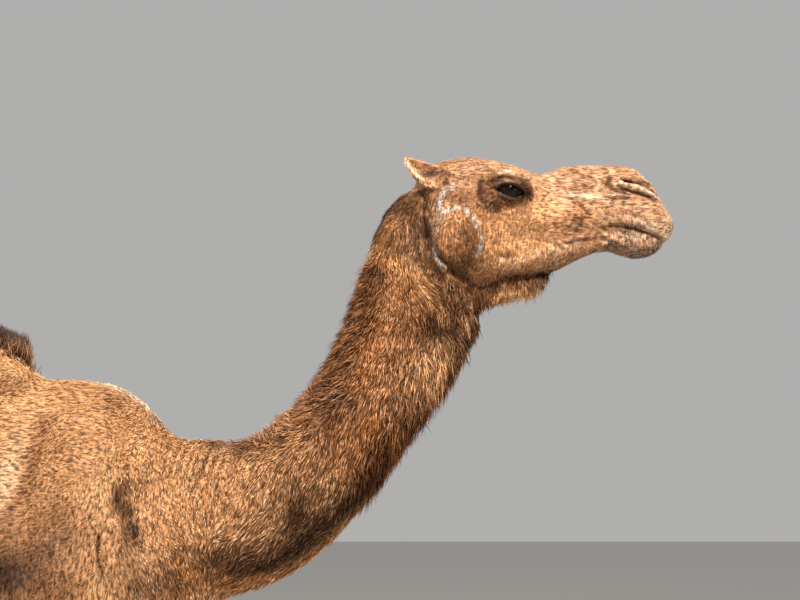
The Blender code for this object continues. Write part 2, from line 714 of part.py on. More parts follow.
def main():
    clear_scene()
    coat = material("tan_coat", (0.42, 0.23, 0.11), 0.85)
    dark_coat = material("dark_hump_hair", (0.12, 0.08, 0.06), 0.9)
    hide = material("bare_hide", (0.16, 0.12, 0.10), 0.7)
    eyeball = material("dark_eye", (0.02, 0.012, 0.008), 0.05)
    horn = material("toenail", (0.10, 0.08, 0.07), 0.4)

    flesh = make_flesh()
    tail = [(-1.862, 1.60), (-1.872, 1.40), (-1.872, 0.70), (-2.2, 0.70), (-2.2, 1.60)]
    part_off(flesh, "tail", block(tail), coat)
    part_legs(flesh, coat, horn)
    part_off(flesh, "chest_pad", block(box_below(PAD_FLOOR_Z + 0.034, -0.95, -0.45)), hide)
    hump = [(-0.60, 1.815), (-0.90, 1.800), (-1.50, 1.742), (-1.50, 2.1), (-0.60, 2.1)]
    part_off(flesh, "hump", block(hump), dark_coat)
    head_line = [(-0.020, 2.30), (-0.030, 2.150), (0.105, 1.985), (0.200, 1.930), (0.70, 1.90)]
    head = part_off(flesh, "head", block([*head_line, (0.70, 2.30)]), coat)
    for name, outline in (
        ("neck_upper", [(-0.26, 1.990), (0.260, 1.720), (0.32, 1.90), (0.20, 2.4), (-0.26, 2.4)]),
        ("neck_middle", [(-0.325, 1.80), (-0.050, 1.400), (0.30, 1.40), (0.30, 2.1), (-0.325, 2.1)]),
        ("neck_lower", [(-0.455, 1.80), (-0.405, 1.27), (0.0, 1.10), (0.0, 1.80)]),
    ):
        part_off(flesh, name, block(outline), coat)
    flesh.name = "trunk"
    flesh.data.materials.append(coat)

    mouth_line = [(0.62, 2.0885), (0.46, 2.0900), (0.405, 2.0960), (0.345, 2.0700), (0.180, 2.0150)]
    part_off(head, "lower_jaw", block([*mouth_line, (0.135, 1.9000), (0.62, 1.90)]), coat)
    for side in (1, -1):
        seat(head, make_ear(side, coat))
        seat(head, make_eye(side, eyeball))
    bpy.data.collections.remove(CUTTERS)
    centre_on_floor()


main()
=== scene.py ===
# %% [markdown]
# # A dromedary in its summer coat
# A museum camel has three layers that a visitor sees: a skin with its folds, a coat of hair over it, and the
# wet or horny parts that stay bare. This lesson makes them in that order. The carved frame that is loaded here
# holds the animal's outline out to the tips of its hair, so the skin is made from it and then drawn in by the
# depth of the coat.

# %% Load the frame
import math
import bpy
import numpy as np
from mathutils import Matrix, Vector


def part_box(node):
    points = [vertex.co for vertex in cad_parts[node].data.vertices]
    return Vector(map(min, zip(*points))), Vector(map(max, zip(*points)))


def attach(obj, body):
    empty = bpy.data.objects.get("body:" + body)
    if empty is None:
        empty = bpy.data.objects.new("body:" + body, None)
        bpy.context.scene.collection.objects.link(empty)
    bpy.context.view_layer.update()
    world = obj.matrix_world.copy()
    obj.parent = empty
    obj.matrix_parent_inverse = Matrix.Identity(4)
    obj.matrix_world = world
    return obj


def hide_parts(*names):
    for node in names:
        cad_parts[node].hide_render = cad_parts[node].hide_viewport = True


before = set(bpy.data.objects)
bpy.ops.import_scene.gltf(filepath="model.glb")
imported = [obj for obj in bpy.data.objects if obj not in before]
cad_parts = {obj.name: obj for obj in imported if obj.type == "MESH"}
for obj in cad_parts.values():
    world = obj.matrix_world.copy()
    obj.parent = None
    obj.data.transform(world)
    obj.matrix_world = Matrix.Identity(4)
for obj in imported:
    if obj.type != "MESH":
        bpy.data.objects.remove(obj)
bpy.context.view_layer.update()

MM = 0.001
EYE_X, EYE_Y, EYE_Z, EYE_R = 0.2210, 0.0790, 2.1650, 0.0230
low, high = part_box("eye_right")
SHIFT_X = (low.x + high.x) / 2 - EYE_X
print("frame of", len(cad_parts), "nodes, drawn", round(SHIFT_X, 4), "m ahead of the plan")

# %% [markdown]
# ## Small helpers
# A plan of the animal is easier to think in than the frame's own numbers: x runs from the withers to the nose,
# z is the height over the floor, and both sides are drawn at once by taking the distance from the middle plane.
# Lines and spots are written in millimetres of that plan. Soft steps and bell curves fade every effect out,
# because nothing on a living body ends at a line.

# %% Soft steps and lines drawn on the side of the body
def ramp(start, end, value):
    """0 at start, 1 at end, with soft ends; start may be larger than end."""
    t = np.clip((value - start) / (end - start), 0.0, 1.0)
    return t * t * (3.0 - 2.0 * t)

def bell(value, centre, width):
    return np.exp(-((value - centre) / width) ** 2)

def blob(side, x, z, half_x, half_z, turn=0):
    """A soft oval patch on the side plan, 1 in its middle; millimetres and degrees."""
    c, s = math.cos(math.radians(turn)), math.sin(math.radians(turn))
    dx, dz = side[:, 0] - x / 1000, side[:, 2] - z / 1000
    return np.exp(-(((dx * c + dz * s) / (half_x / 1000)) ** 2 + ((dz * c - dx * s) / (half_z / 1000)) ** 2))

def flowing(points, steps=6):
    """A smooth line in metres, through points given as x, z, x, z and so on in millimetres."""
    p = np.reshape(points, (-1, 2)) / 1000
    p = np.vstack([2 * p[0] - p[1], p, 2 * p[-1] - p[-2]])
    t = np.linspace(0, 1, steps, endpoint=False)[:, None]
    out = []
    for a, b, c, d in zip(p, p[1:], p[2:], p[3:]):
        bend, twist = 2 * a - 5 * b + 4 * c - d, 3 * b - a - 3 * c + d
        out.append(0.5 * (2 * b + (c - a) * t + bend * t**2 + twist * t**3))
    return np.vstack(out + [p[-2:-1]])

def height_of(points, x):
    """The height in metres of such a line over each x."""
    return np.interp(x, *(np.reshape(points, (-1, 2)) / 1000).T)

def to_line(points, line):
    """Distance of each point to a line, how far along it (0 to 1), and on which side (plan only)."""
    best = np.full(len(points), 1e9)
    along, hand = np.zeros(len(points)), np.ones(len(points))
    lengths = np.linalg.norm(np.diff(line, axis=0), axis=1)
    start, total = 0.0, lengths.sum()
    for a, b, length in zip(line, line[1:], lengths):
        e = b - a
        t = np.clip(((points - a) @ e) / max(length, 1e-9) ** 2, 0, 1)
        off = points - a - t[:, None] * e
        d = np.linalg.norm(off, axis=1)
        closer = d < best
        best[closer] = d[closer]
        along[closer] = (start + t[closer] * length) / total
        hand[closer] = np.sign(e[0] * off[closer, 1] - e[1] * off[closer, 0])
        start += length
    return best, along, hand

def near_line(side, points, width, inner):
    """The points within three widths of a line, and their distance to it and place along it."""
    line, plan = flowing(points), side[:, [0, 2]]
    inside = (plan > line.min(0) - 3 * width) & (plan < line.max(0) + 3 * width)
    near = np.flatnonzero(inside.all(1) & (side[:, 1] >= inner * MM))
    return near, *to_line(plan[near], line)[:2]

def waves(points, size, seed, count=7):
    """A smooth random field, about -1 to 1, whose swells are about the given size."""
    draw = np.random.default_rng(seed)
    total = np.zeros(len(points))
    for _ in range(count):
        way = draw.normal(size=3)
        way *= 2 * math.pi / (size * draw.uniform(0.7, 1.6)) / np.linalg.norm(way)
        total += np.sin(points @ way + draw.uniform(0, 6.28))
    return total / math.sqrt(count * 0.9)

# %% [markdown]
# ## The skin's blank
# A taxidermist starts from one cast body, whatever number of blocks it was carved in. Here the carved nodes of
# flesh are copied, joined, and recast by a voxel remesh, which closes the thin cuts between them. The eyes and
# nails are cast in, so that no pocket is left where they sit. Remeshing gives even squares, which smooth well.

# %% Cast the flesh in one piece
VOXEL, TOUCHING = 0.006, 1e-5
BARE_NODES = [n for n in sorted(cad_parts) if n.startswith("eye") or "nail" in n]
EAR_NODES = ["ear_left", "ear_right"]
FLESH_NODES = [n for n in sorted(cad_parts) if n not in BARE_NODES + EAR_NODES]

def pick(*objects):
    """Selects just these objects; the last one is active."""
    bpy.ops.object.select_all(action="DESELECT")
    for obj in objects:
        obj.select_set(True)
        bpy.context.view_layer.objects.active = obj

def join(*objects):
    """Joins objects into the last one."""
    pick(*objects)
    bpy.ops.object.join()
    return objects[-1]

def in_edit_mode(obj, *steps):
    """Runs mesh operators on an object, each given with its settings."""
    pick(obj)
    bpy.ops.object.mode_set(mode="EDIT")
    for operator, settings in steps:
        operator(**settings)
    bpy.ops.object.mode_set(mode="OBJECT")

def new_object(name, data):
    obj = bpy.data.objects.new(name, data)
    bpy.context.scene.collection.objects.link(obj)
    return obj

def use_modifier(obj, kind, **settings):
    """Adds a modifier and applies it at once."""
    pick(obj)
    modifier = obj.modifiers.new(kind.title(), kind)
    for key, value in settings.items():
        setattr(modifier, key, value)
    bpy.ops.object.modifier_apply(modifier=modifier.name)

skin = join(*[new_object("block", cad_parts[n].data.copy()) for n in FLESH_NODES + BARE_NODES])
skin.name = "skin"
EVERYTHING = (bpy.ops.mesh.select_all, dict(action="SELECT"))
in_edit_mode(skin, EVERYTHING, (bpy.ops.mesh.remove_doubles, dict(threshold=TOUCHING)))
use_modifier(skin, "REMESH", mode="VOXEL", voxel_size=VOXEL, use_smooth_shade=True)
print("cast of", len(skin.data.vertices), "points")

# %% Read and write the mesh as arrays
def read(rows, name, width, kind=np.float32):
    """One value of all a mesh's points, edges or faces, as the rows of an array."""
    values = np.empty(len(rows) * width, kind)
    rows.foreach_get(name, values)
    return values.reshape(-1, width).astype(float if kind is np.float32 else kind)

def points_of(mesh):
    return read(mesh.vertices, "co", 3)

def normals_of(mesh):
    return read(mesh.vertex_normals, "vector", 3)

def put_points(mesh, co):
    mesh.vertices.foreach_set("co", co.astype(np.float32).ravel())
    mesh.update()

def triangles_of(mesh):
    return sum(len(face.vertices) - 2 for face in mesh.polygons)

def plan_of(co):
    """Points in the plan: x from the withers, distance from the middle plane, height."""
    return np.column_stack([co[:, 0] - SHIFT_X, np.abs(co[:, 1]), co[:, 2]])

def blur(mesh, values, weight, rounds):
    """Draws each point's values towards the middle of its neighbours' values, by its weight."""
    edges = read(mesh.edges, "vertices", 2, np.int32)
    both = np.vstack([edges, edges[:, ::-1]])
    order = np.argsort(both[:, 0], kind="stable")
    near, starts = both[order, 1], np.searchsorted(both[order, 0], np.arange(len(values)))
    degree = np.maximum(np.bincount(both[:, 0], minlength=len(values)), 1)[:, None]
    step = (0.6 * weight)[:, None]
    for _ in range(rounds):
        values = values + step * (np.add.reduceat(values[near], starts, axis=0) / degree - values)
    return values

def relax(mesh, weight, rounds):
    """Moves each point towards the middle of its neighbours, by its weight."""
    put_points(mesh, blur(mesh, points_of(mesh), weight, rounds))

# %% [markdown]
# ## Soften, then draw in by the coat's depth
# The carved blocks have flat facets. Relaxing the points melts them away, gently on the head, whose forms are
# small, and firmly on the trunk. Relaxing also shrinks a body, so the loss is measured, blurred and given back.
# Then each point sinks along its normal by as much hair as covers it: two or three millimetres on the face, over
# one centimetre under the beard, and two under the brush on the hump. The combing table gives the hair's length.

# %% Where is each point on the animal?
AXIS = np.array([(0.56, 2.11), (0.30, 2.13), (0.10, 2.10), (0.03, 1.98), (-0.02, 1.85), (-0.09, 1.70),
                 (-0.22, 1.565), (-0.40, 1.50), (-0.62, 1.42), (-1.00, 1.40), (-1.50, 1.38), (-1.90, 1.40)])
AXIS_LENGTH = np.linalg.norm(np.diff(AXIS, axis=0), axis=1).sum()
JAW_EDGE = (150, 1984, 171, 1981, 211, 2001, 252, 2007, 294, 2015, 330, 2023, 370, 2040)

def zones(side):
    """Soft masks, 0 to 1, for the parts of the animal, from places in the plan.

    t is the distance from the nose along the body's axis, and top runs from 1 above the axis to -1 below it."""
    x, y, z = side.T
    d, along, hand = to_line(side[:, [0, 2]], AXIS)
    t = along * AXIS_LENGTH
    top = np.where(z > 0, -hand * d, 0) / np.maximum(np.hypot(d, y), 1e-6)
    leg = ramp(1.12, 0.98, z) * ramp(0.03, 0.07, y)
    tail = ramp(-1.850, -1.868, x) * ramp(0.075, 0.055, y) * ramp(0.80, 0.86, z)
    body = (1 - leg) * (1 - tail)
    head = ramp(0.60, 0.53, t) * ramp(1.90, 1.98, z)
    return {
        "t": t, "top": top, "leg": leg, "tail": tail, "head": head,
        "muzzle": ramp(0.32, 0.20, t) * head,
        "upper_neck": ramp(0.53, 0.60, t) * ramp(1.02, 0.92, t) * body,
        "trunk": ramp(1.30, 1.46, t) * body,
        "throat": ramp(-0.35, -0.85, top) * ramp(0.50, 0.60, t) * ramp(1.10, 0.90, t),
        "beard": ramp(0.165, 0.220, x) * ramp(0.365, 0.340, x) * ramp(1.88, 1.91, z)
                 * ramp(0.004, -0.004, z - height_of(JAW_EDGE, x)),
        "mane": ramp(0.45, 0.85, top) * ramp(0.56, 0.66, t) * ramp(1.25, 1.10, t),
        "hump": ramp(1.795, 1.835, z) * ramp(-0.70, -0.74, x) * ramp(-1.35, -1.20, x) * ramp(0.12, 0.075, y),
        "hide": ramp(0.985, 0.965, z) * ramp(0.13, 0.11, y) * ramp(-0.92, -0.88, x) * ramp(-0.52, -0.56, x),
        "sole": ramp(0.016, 0.008, z),
        "foot": ramp(0.20, 0.12, z),
    }

# %% [markdown]
# ## How the coat is combed
# A groomer knows which way the hair lies on each part: back from the nose, down the neck, back and down over the
# ribs, straight down the legs. A short table of combing places holds the lie, length, lift and breadth of the
# tufts, and every point of the skin takes a blend of the places near it.

# %% Combing table
# x and z in centimetres, lie forward and up in hundredths, length in millimetres, lift in degrees, breadth in
# tenths of a millimetre
COMB = np.array([
    (53, 212, -90, -40, 5, 22, 9), (45, 223, -100, 5, 6, 15, 9), (33, 222, -100, 0, 7, 13, 9),
    (33, 211, -90, -35, 7, 15, 9), (49, 206, -50, -85, 7, 26, 9), (22, 224, -90, 30, 8, 17, 10),
    (22, 209, -75, -65, 8, 16, 10), (11, 225, -100, 0, 11, 20, 11), (13, 217, -80, -55, 9, 17, 10),
    (11, 206, -45, -90, 10, 17, 11), (25, 202, -70, -70, 10, 17, 11), (32, 200, -30, -95, 12, 22, 12),
    (3, 208, 15, -100, 18, 12, 13), (0, 215, -45, -85, 16, 14, 13), (-5, 206, -35, -90, 20, 20, 14),
    (-3, 202, 25, -95, 20, 18, 14), (14, 197, 10, -100, 20, 12, 15), (4, 197, 45, -90, 22, 12, 15),
    (-11, 193, -60, -75, 22, 30, 15), (-2, 186, -25, -97, 23, 15, 16), (9, 180, 10, -100, 28, 20, 17),
    (-16, 179, -70, -60, 22, 34, 16), (-10, 168, -25, -100, 23, 15, 16), (-3, 162, -30, -95, 24, 17, 16),
    (-22, 158, -30, -95, 19, 13, 15), (-25, 170, -75, -30, 18, 32, 15), (-36, 160, -10, -100, 11, 11, 13),
    (-30, 148, -75, -65, 18, 13, 16), (-15, 145, -90, -40, 18, 14, 17), (-43, 154, 55, -80, 11, 12, 14),
    (-42, 147, 60, -80, 13, 12, 15), (-47, 143, 20, -100, 14, 12, 15), (-50, 158, -10, -100, 12, 12, 14),
    (-53, 150, -60, -80, 12, 12, 14), (-60, 178, -100, -10, 11, 12, 14), (-60, 165, -100, -30, 11, 12, 14),
    (-60, 150, -80, -55, 12, 12, 15), (-72, 160, -90, -30, 11, 12, 15), (-62, 125, -50, -85, 15, 13, 17),
    (-42, 125, -30, -95, 18, 17, 17), (-80, 185, -95, -20, 14, 20, 16), (-100, 172, -100, -15, 15, 14, 19),
    (-105, 145, -95, -35, 15, 12, 20), (-110, 112, -100, -15, 18, 14, 20), (-145, 140, -80, -60, 15, 12, 20),
    (-170, 165, -90, -40, 15, 13, 19), (-172, 135, -25, -97, 15, 13, 19), (-184, 135, -5, -100, 16, 14, 19),
]) / (100, 100, 100, 100, 1, 1, 10)
LEG_LIE, TAIL_LIE = np.array([-0.12, 0, -1.0]), np.array([-0.10, 0, -1.0])
UNDERCOAT, LYING_SHARE, TAIL_HAIR, TAIL_DEPTH = 1.5 * MM, 0.62, 24 * MM, 5 * MM
EXTRA_DEPTH = {"mane": 7, "throat": 6, "hump": 19, "beard": 9}
THROAT_TUFT = (180, 1925, 34, 30)
THROAT_TUFT_DEPTH = 20 * MM

def comb(side, zone):
    """Lie, length, lift and breadth of the hair at each point."""
    total, weights = np.zeros((len(side), 5)), np.zeros(len(side))
    for place in COMB:
        w = 1 / (((side[:, 0] - place[0]) ** 2 + (side[:, 2] - place[1]) ** 2) + 0.02**2) ** 1.8
        total += w[:, None] * place[2:]
        weights += w
    total /= weights[:, None]
    lie = np.column_stack([total[:, 0], np.zeros(len(side)), total[:, 1]])
    length, lift, breadth = total[:, 2] * MM, np.radians(total[:, 3]), total[:, 4] * MM
    for part, lie_there in (("leg", LEG_LIE), ("tail", TAIL_LIE)):
        lie = lie * (1 - zone[part][:, None]) + lie_there * zone[part][:, None]
    length = length * (1 - 0.50 * zone["leg"]) * (1 - 0.35 * zone["foot"] * zone["leg"])
    length = np.maximum(length, TAIL_HAIR * zone["tail"])
    return lie, length, lift, breadth

def coat_depth(side, zone):
    """How far the skin lies under the tips of the hair, in metres."""
    _, length, lift, _ = comb(side, zone)
    depth = UNDERCOAT + LYING_SHARE * length * np.sin(lift)
    depth = depth + sum(extra * zone[part] for part, extra in EXTRA_DEPTH.items()) * MM
    depth = depth + THROAT_TUFT_DEPTH * blob(side, *THROAT_TUFT)
    depth = depth * (1 - 0.8 * zone["hide"]) * (1 - zone["sole"]) * (1 - 0.3 * zone["foot"])
    return depth + TAIL_DEPTH * zone["tail"]

# %% Soften and draw in
FIRM_ROUNDS, EVEN_ROUNDS, LOSS_ROUNDS, LAST_ROUNDS = 26, 2, 24, 4
side = plan_of(points_of(skin.data))
zone = zones(side)
soft = 1.0 - 0.78 * zone["head"] - 0.45 * zone["leg"] - 0.30 * zone["foot"] * zone["leg"]
soft = np.clip(soft * (1 - 0.6 * zone["hide"]), 0.02, 1.0)
everywhere = np.ones(len(soft))
carved = points_of(skin.data)
relax(skin.data, soft, FIRM_ROUNDS)
relax(skin.data, everywhere, EVEN_ROUNDS)
outward = normals_of(skin.data)
shrunk = ((carved - points_of(skin.data)) * outward).sum(1)[:, None]
shrunk = blur(skin.data, shrunk, everywhere, LOSS_ROUNDS)[:, 0]
put_points(skin.data, points_of(skin.data) + outward * (shrunk - coat_depth(side, zone))[:, None])
relax(skin.data, 0.5 * soft, LAST_ROUNDS)
print("skin drawn in; it had shrunk", round(float(np.abs(shrunk).mean()) * 1000, 2), "mm, which was given back")

# %% [markdown]
# ## Folds of the neck, shoulder and flank
# Where the neck bends up from the chest, the hide gathers in upright wrinkles, and a deep fold runs in front of
# the shoulder. A sculptor would crease them in with a knife-edged tool. Here each is a line on the side plan: the
# points near it sink along their normals, and the hide beside it swells a little, as real folds do.

# %% Tools to press and swell
class Clay:
    """The skin's points while they are worked on. All lengths are in millimetres."""
    def __init__(self, mesh):
        self.mesh = mesh
        self.refresh()

    def refresh(self):
        self.co, self.normal = points_of(self.mesh), normals_of(self.mesh)
        self.side, self.facing = plan_of(self.co), np.abs(self.normal[:, 1])

    def done(self):
        put_points(self.mesh, self.co)
        self.refresh()

    def press(self, points, depth, width, lip=0.35, taper=0.2, facing=0.15, inner=0):
        """A groove along a line of plan points. A negative depth raises a ridge."""
        width = width * MM
        near, d, along = near_line(self.side, points, width, inner)
        shape = bell(d, 0, width) - lip * bell(d, 2.0 * width, 0.9 * width)
        ends = ramp(0, taper, along) * ramp(1, 1 - taper, along) if taper > 0 else 1.0
        turned = ramp(facing * 0.5, facing + 0.15, self.facing[near]) if facing > 0 else 1.0
        self.co[near] -= self.normal[near] * (depth * MM * shape * ends * turned)[:, None]

    def swell(self, x, z, half_x, half_z, height, turn=0, facing=0.15):
        """A soft mound, or a hollow where the height is negative."""
        mask = blob(self.side, x, z, half_x, half_z, turn)
        if facing > 0:
            mask = mask * ramp(facing * 0.5, facing + 0.15, self.facing)
        self.co += self.normal * (height * MM * mask)[:, None]

    def work(self, *rows, inner=0):
        """Swells each row that starts with a number, presses each that starts with a line, and keeps the result."""
        for row in rows:
            if isinstance(row[0], int):
                self.swell(*row)
            else:
                self.press(*row, inner=inner)
        self.done()

def moved(points, x, z):
    """A line moved ahead and up."""
    return np.reshape(points, (-1, 2)) + (x, z)

# %% Press the body's folds
# x and z of the top, x and z of the foot, share of the full depth
GROOVES = [(-441, 1680, -446, 1610, 0.7), (-423, 1680, -433, 1606, 0.9), (-407, 1672, -419, 1596, 1.0),
           (-393, 1664, -406, 1590, 1.0), (-379, 1662, -394, 1588, 1.1), (-363, 1668, -379, 1586, 1.2),
           (-348, 1660, -360, 1588, 1.1), (-334, 1654, -344, 1588, 0.9), (-318, 1650, -326, 1592, 0.6)]
RIDGES = [(-434, 1689, -441, 1612, 0.7), (-416, 1682, -427, 1600, 0.9), (-401, 1668, -412, 1588, 1.1),
          (-387, 1661, -401, 1588, 1.0), (-372, 1661, -388, 1584, 1.0), (-356, 1655, -370, 1588, 1.1),
          (-340, 1656, -352, 1588, 1.2), (-327, 1652, -336, 1590, 0.8)]
BLACK_FOLD = (-531, 1508, -528, 1482, -525, 1458, -516, 1435)
BESIDE_FOLD = (-509, 1534, -503, 1499, -501, 1471, -505, 1428)
RECESS = (-500, 1608, -508, 1581, -507, 1557, -499, 1537, -490, 1517, -482, 1495)
clay = Clay(skin.data)
# a groove: line, depth, width, lip, taper, least facing; a mound: x, z, half sizes, height, turn, least facing
clay.work(*[(ends, 3.4 * share, 3.4, 0.2, 0.3, 0.05) for *ends, share in GROOVES],
          *[(ends, -2.6 * share, 3.6, 0.1, 0.3, 0.05) for *ends, share in RIDGES])
clay.work(
    (RECESS, 6, 10, 0.2, 0.35), ((-486, 1520, -484, 1490), 6, 8, 0.2, 0.1), (BLACK_FOLD, 14, 3.6, 0.5),
    (BESIDE_FOLD, -8, 10, 0), ((-674, 1725, -674, 1660, -680, 1600, -704, 1520), 9, 26, 0.2),
    ((-690, 1500, -650, 1420, -640, 1330), 6, 20, 0.2), ((-620, 1775, -560, 1762, -500, 1722), -4, 14, 0.2, 0.2, 0),
    ((-585, 1700, -600, 1600, -580, 1500), -5, 22, 0.3), ((37, 2184, 51, 2150, 48, 2114), 5, 5, 0.4))
clay.work(
    (-34, 2088, 36, 44, 21, 60, 0), (-10, 2150, 30, 30, 4, 45, 0), (30, 2193, 20, 20, -9, 0, 0),
    (150, 1860, 45, 60, 12, -60, 0), (110, 1790, 40, 50, 6, -60, 0), (-660, 1800, 70, 30, 5, 0, 0),
    (-430, 1705, 60, 30, -7, 0, 0), (-200, 1425, 110, 35, 6, 20, 0),
    *[((x + 20, 1620, x - 20, 1450, x - 10, 1250, x + 30, 1120), 2.6, 17, 0.4, 0.2, 0.3)
      for x in range(-860, -1281, -70)],
    ((-1520, 1580, -1500, 1420, -1470, 1250, -1440, 1140), 8, 32, 0.2, 0.2, 0.3),
    ((-1700, 1520, -1720, 1380, -1700, 1220), 5, 26, 0.3, 0.2, 0.3), (-1580, 1600, 50, 30, 7, 20))
print("folds pressed into", len(clay.co), "points")

# %% [markdown]
# ## Spend the points where they are seen
# The whole skin may have fewer than 200,000 triangles. Under the coat of the body large triangles are enough,
# so a decimate there frees points for the head. The faces of the head are then subdivided once, and those round
# the eyes, the nostrils and the lips once more.

# %% Thin out the body and refine the head
BODY_TRIANGLES = 38000
x, _, z = clay.side.T
is_head = (x > -0.045) & (zones(clay.side)["t"] < 0.66) & (z > 1.90)
kept_triangles = 2 * int(is_head.sum()) + BODY_TRIANGLES
skin.vertex_groups.new(name="body").add(np.flatnonzero(~is_head).tolist(), 1.0, "REPLACE")
use_modifier(skin, "DECIMATE", ratio=kept_triangles / triangles_of(skin.data),
             vertex_group="body", vertex_group_factor=1.0)
skin.vertex_groups.clear()

def edit_faces(chosen, *steps):
    """Runs mesh operators on the chosen faces of the skin."""
    mesh = skin.data
    for parts in (mesh.vertices, mesh.edges):
        parts.foreach_set("select", np.zeros(len(parts), bool))
    mesh.polygons.foreach_set("select", chosen)
    in_edit_mode(skin, *steps)

def refine(test):
    """Subdivides the faces whose middles pass a test on the plan."""
    edit_faces(test(*plan_of(read(skin.data.polygons, "center", 3)).T),
               (bpy.ops.mesh.select_mode, dict(type="FACE")),
               (bpy.ops.mesh.subdivide, dict(number_cuts=1, smoothness=1.0)))

def on_face(x, y, z):
    return (x > 0.03) & (z > 1.965 + 0.25 * ramp(0.12, -0.02, x))

def fine_spots(x, y, z):
    eye = (np.hypot((x - EYE_X) / 1.15, z - EYE_Z) < 0.043) & (y > 0.03)
    nostril = (x > 0.425) & (x < 0.525) & (z > 2.150) & (z < 2.212) & (y > 0.012)
    lips = (x > 0.375) & (np.abs(z - 2.094 - 0.02 * (x < 0.43)) < 0.014)
    return (eye | nostril | lips) & (x > 0)

refine(on_face)
relax(skin.data, zones(plan_of(points_of(skin.data)))["head"] * 0.8, 4)
refine(fine_spots)
print("skin has", triangles_of(skin.data), "triangles")

# %% [markdown]
# ## The head
# A camel's eye is heavy-lidded: the opening is an almond about six centimetres long, and the lids wrap the ball
# like a thick shell. The skin near the eye is drawn onto a sphere a little larger than the ball, and the skin
# inside the almond drops behind the ball, so the lids get a real edge. The nostril is a slit that the animal can
# shut, with a thick lower rim, and the split upper lip overhangs the lower one.

# %% Lids round the eyes
EYE_TILT, EYE_HALF = math.radians(-9.0), 0.0290
TOP_LID, TOP_SLOPE, LOW_LID = 0.0088, 0.0030, 0.0152
TILT_C, TILT_S = math.cos(EYE_TILT), math.sin(EYE_TILT)
LID, DROP, BLEND = 3.6 * MM, 5 * MM, 0.006

def almond(side):
    """Distance outside the eye's opening, and place along and across it."""
    u, w = side[:, 0] - EYE_X, side[:, 2] - EYE_Z
    s, e = u * TILT_C + w * TILT_S, w * TILT_C - u * TILT_S
    inside = np.clip(1 - (s / EYE_HALF) ** 2, 0, 1)
    top, bottom = (TOP_LID - TOP_SLOPE * s / EYE_HALF) * inside**0.55, -LOW_LID * inside**0.80
    out = np.where(e > 0, e - top, bottom - e)
    return np.where(np.abs(s) > EYE_HALF, np.hypot(np.abs(s) - EYE_HALF, e), out), s, e

def arc(rise, fall, spread, count=9):
    """A line that follows the eye's opening at a distance: rise above it, or below it where negative."""
    line = []
    for k in np.linspace(-1, 1, count):
        s = EYE_HALF * spread * k
        e = (rise * (1 - k * k) ** 0.6 + fall * k) * MM
        line += [(EYE_X + s * TILT_C - e * TILT_S) * 1000, (EYE_Z + s * TILT_S + e * TILT_C) * 1000]
    return line

def ball_side(x, z, radius):
    """How far out from the middle plane a ball round the eye's centre reaches."""
    r2 = (x - EYE_X) ** 2 + (z - EYE_Z) ** 2
    return np.sqrt(np.clip(radius**2 - r2, 0, None)), r2

clay = Clay(skin.data)
out, s, e = almond(clay.side)
x, y, z = clay.side.T
eye_zone = (np.hypot(s / 1.2, e) < 0.052) & (y > 0.03)
reach, r2 = ball_side(x, z, EYE_R + LID)
shell = EYE_Y + reach - 0.020 * ramp(0.0265, 0.040, np.sqrt(r2))
lidded = 0.5 * (y + shell + np.sqrt((y - shell) ** 2 + BLEND**2)) - BLEND / 2
behind = EYE_Y + ball_side(x, z, EYE_R - DROP)[0] * 0.9
target = np.where(out > 0, y + (lidded - y) * ramp(0.030, 0.012, out), y)
target = target + (np.minimum(behind, target) - target) * ramp(0.6 * MM, -1.6 * MM, out)
clay.co[eye_zone, 1] = (np.sign(clay.co[:, 1]) * target)[eye_zone]
clay.done()
clay.work(
    (arc(17.5, -1, 1.12), 2.8, 2.6, 0.45), (arc(25.5, -2, 1.25), 1.6, 3.2, 0.45), (arc(37, -4, 1.4), -5, 8, 0.1),
    ((164, 2190, 156, 2172, 159, 2151, 172, 2134), 2, 4, 0.4), (arc(-23.5, 0, 1.1), 2.4, 2.6, 0.5),
    (arc(-31, 1, 1.05), 1.5, 3, 0.5), (arc(-39, 2, 0.95), 1, 3.2, 0.5),
    ((246, 2163, 256, 2156, 266, 2146), 2.6, 3, 0.4),
    *[((190, z, 176, z - 3 - 3 * k, 160, z - 10 - 5 * k), 1.5, 2.4, 0.5)
      for k, z in enumerate((2171, 2162.5, 2154, 2145.5))],
    inner=30)
print("lids made")

# %% Nostrils
SLIT = (452, 2204, 463, 2199, 480, 2196, 497, 2190, 510, 2182, 524, 2173)
RIM = (449, 2199, 462, 2190, 479, 2184, 495, 2177, 512, 2169, 526, 2163)
UNDER = (445, 2189, 454, 2181, 469, 2175, 486, 2170, 504, 2164, 519, 2160)
SNOUT_CREASE, SNOUT_EDGE = (420, 2164.5, 435, 2161, 450, 2160, 464, 2161), (429, 2167, 441, 2168, 456, 2168)
LIP_FOLD = (386, 2153, 403, 2150, 410, 2142, 416, 2134)
clay.work((480, 2186, 50, 24, 3, -25))
clay.work((moved(SLIT, 3, 8), -2, 5.5, 0.1, 0.25), (SLIT, 13, 3.2, 0.1, 0.16), (UNDER, 6, 3.2, 0.15, 0.25),
          (RIM, -4, 3.6, 0, 0.25), inner=10)
clay.work(
    ((440, 2207, 429, 2202, 425, 2192, 436, 2180), 4, 4.2, 0.4), ((416, 2208, 407, 2196, 408, 2180), 1.5, 3.2, 0.5),
    (SNOUT_CREASE, 3, 2.6, 0.4), (SNOUT_EDGE, -1.6, 2.6, 0.1),
    ((335, 2168, 357, 2168, 373, 2166, 393, 2163, 417, 2162), -3.4, 6, 0.15),
    ((350, 2152, 368, 2146, 375, 2131, 377, 2119, 366, 2110), 4.6, 6.5), (LIP_FOLD, 1.6, 4.5, 0.5),
    (470, 2128, 60, 20, 3.5, -14), (330, 2232, 75, 18, 8.5, 0, 0), (550, 2108, 20, 22, 5, 0, 0),
    (478, 2228, 40, 12, 4, 0, 0))

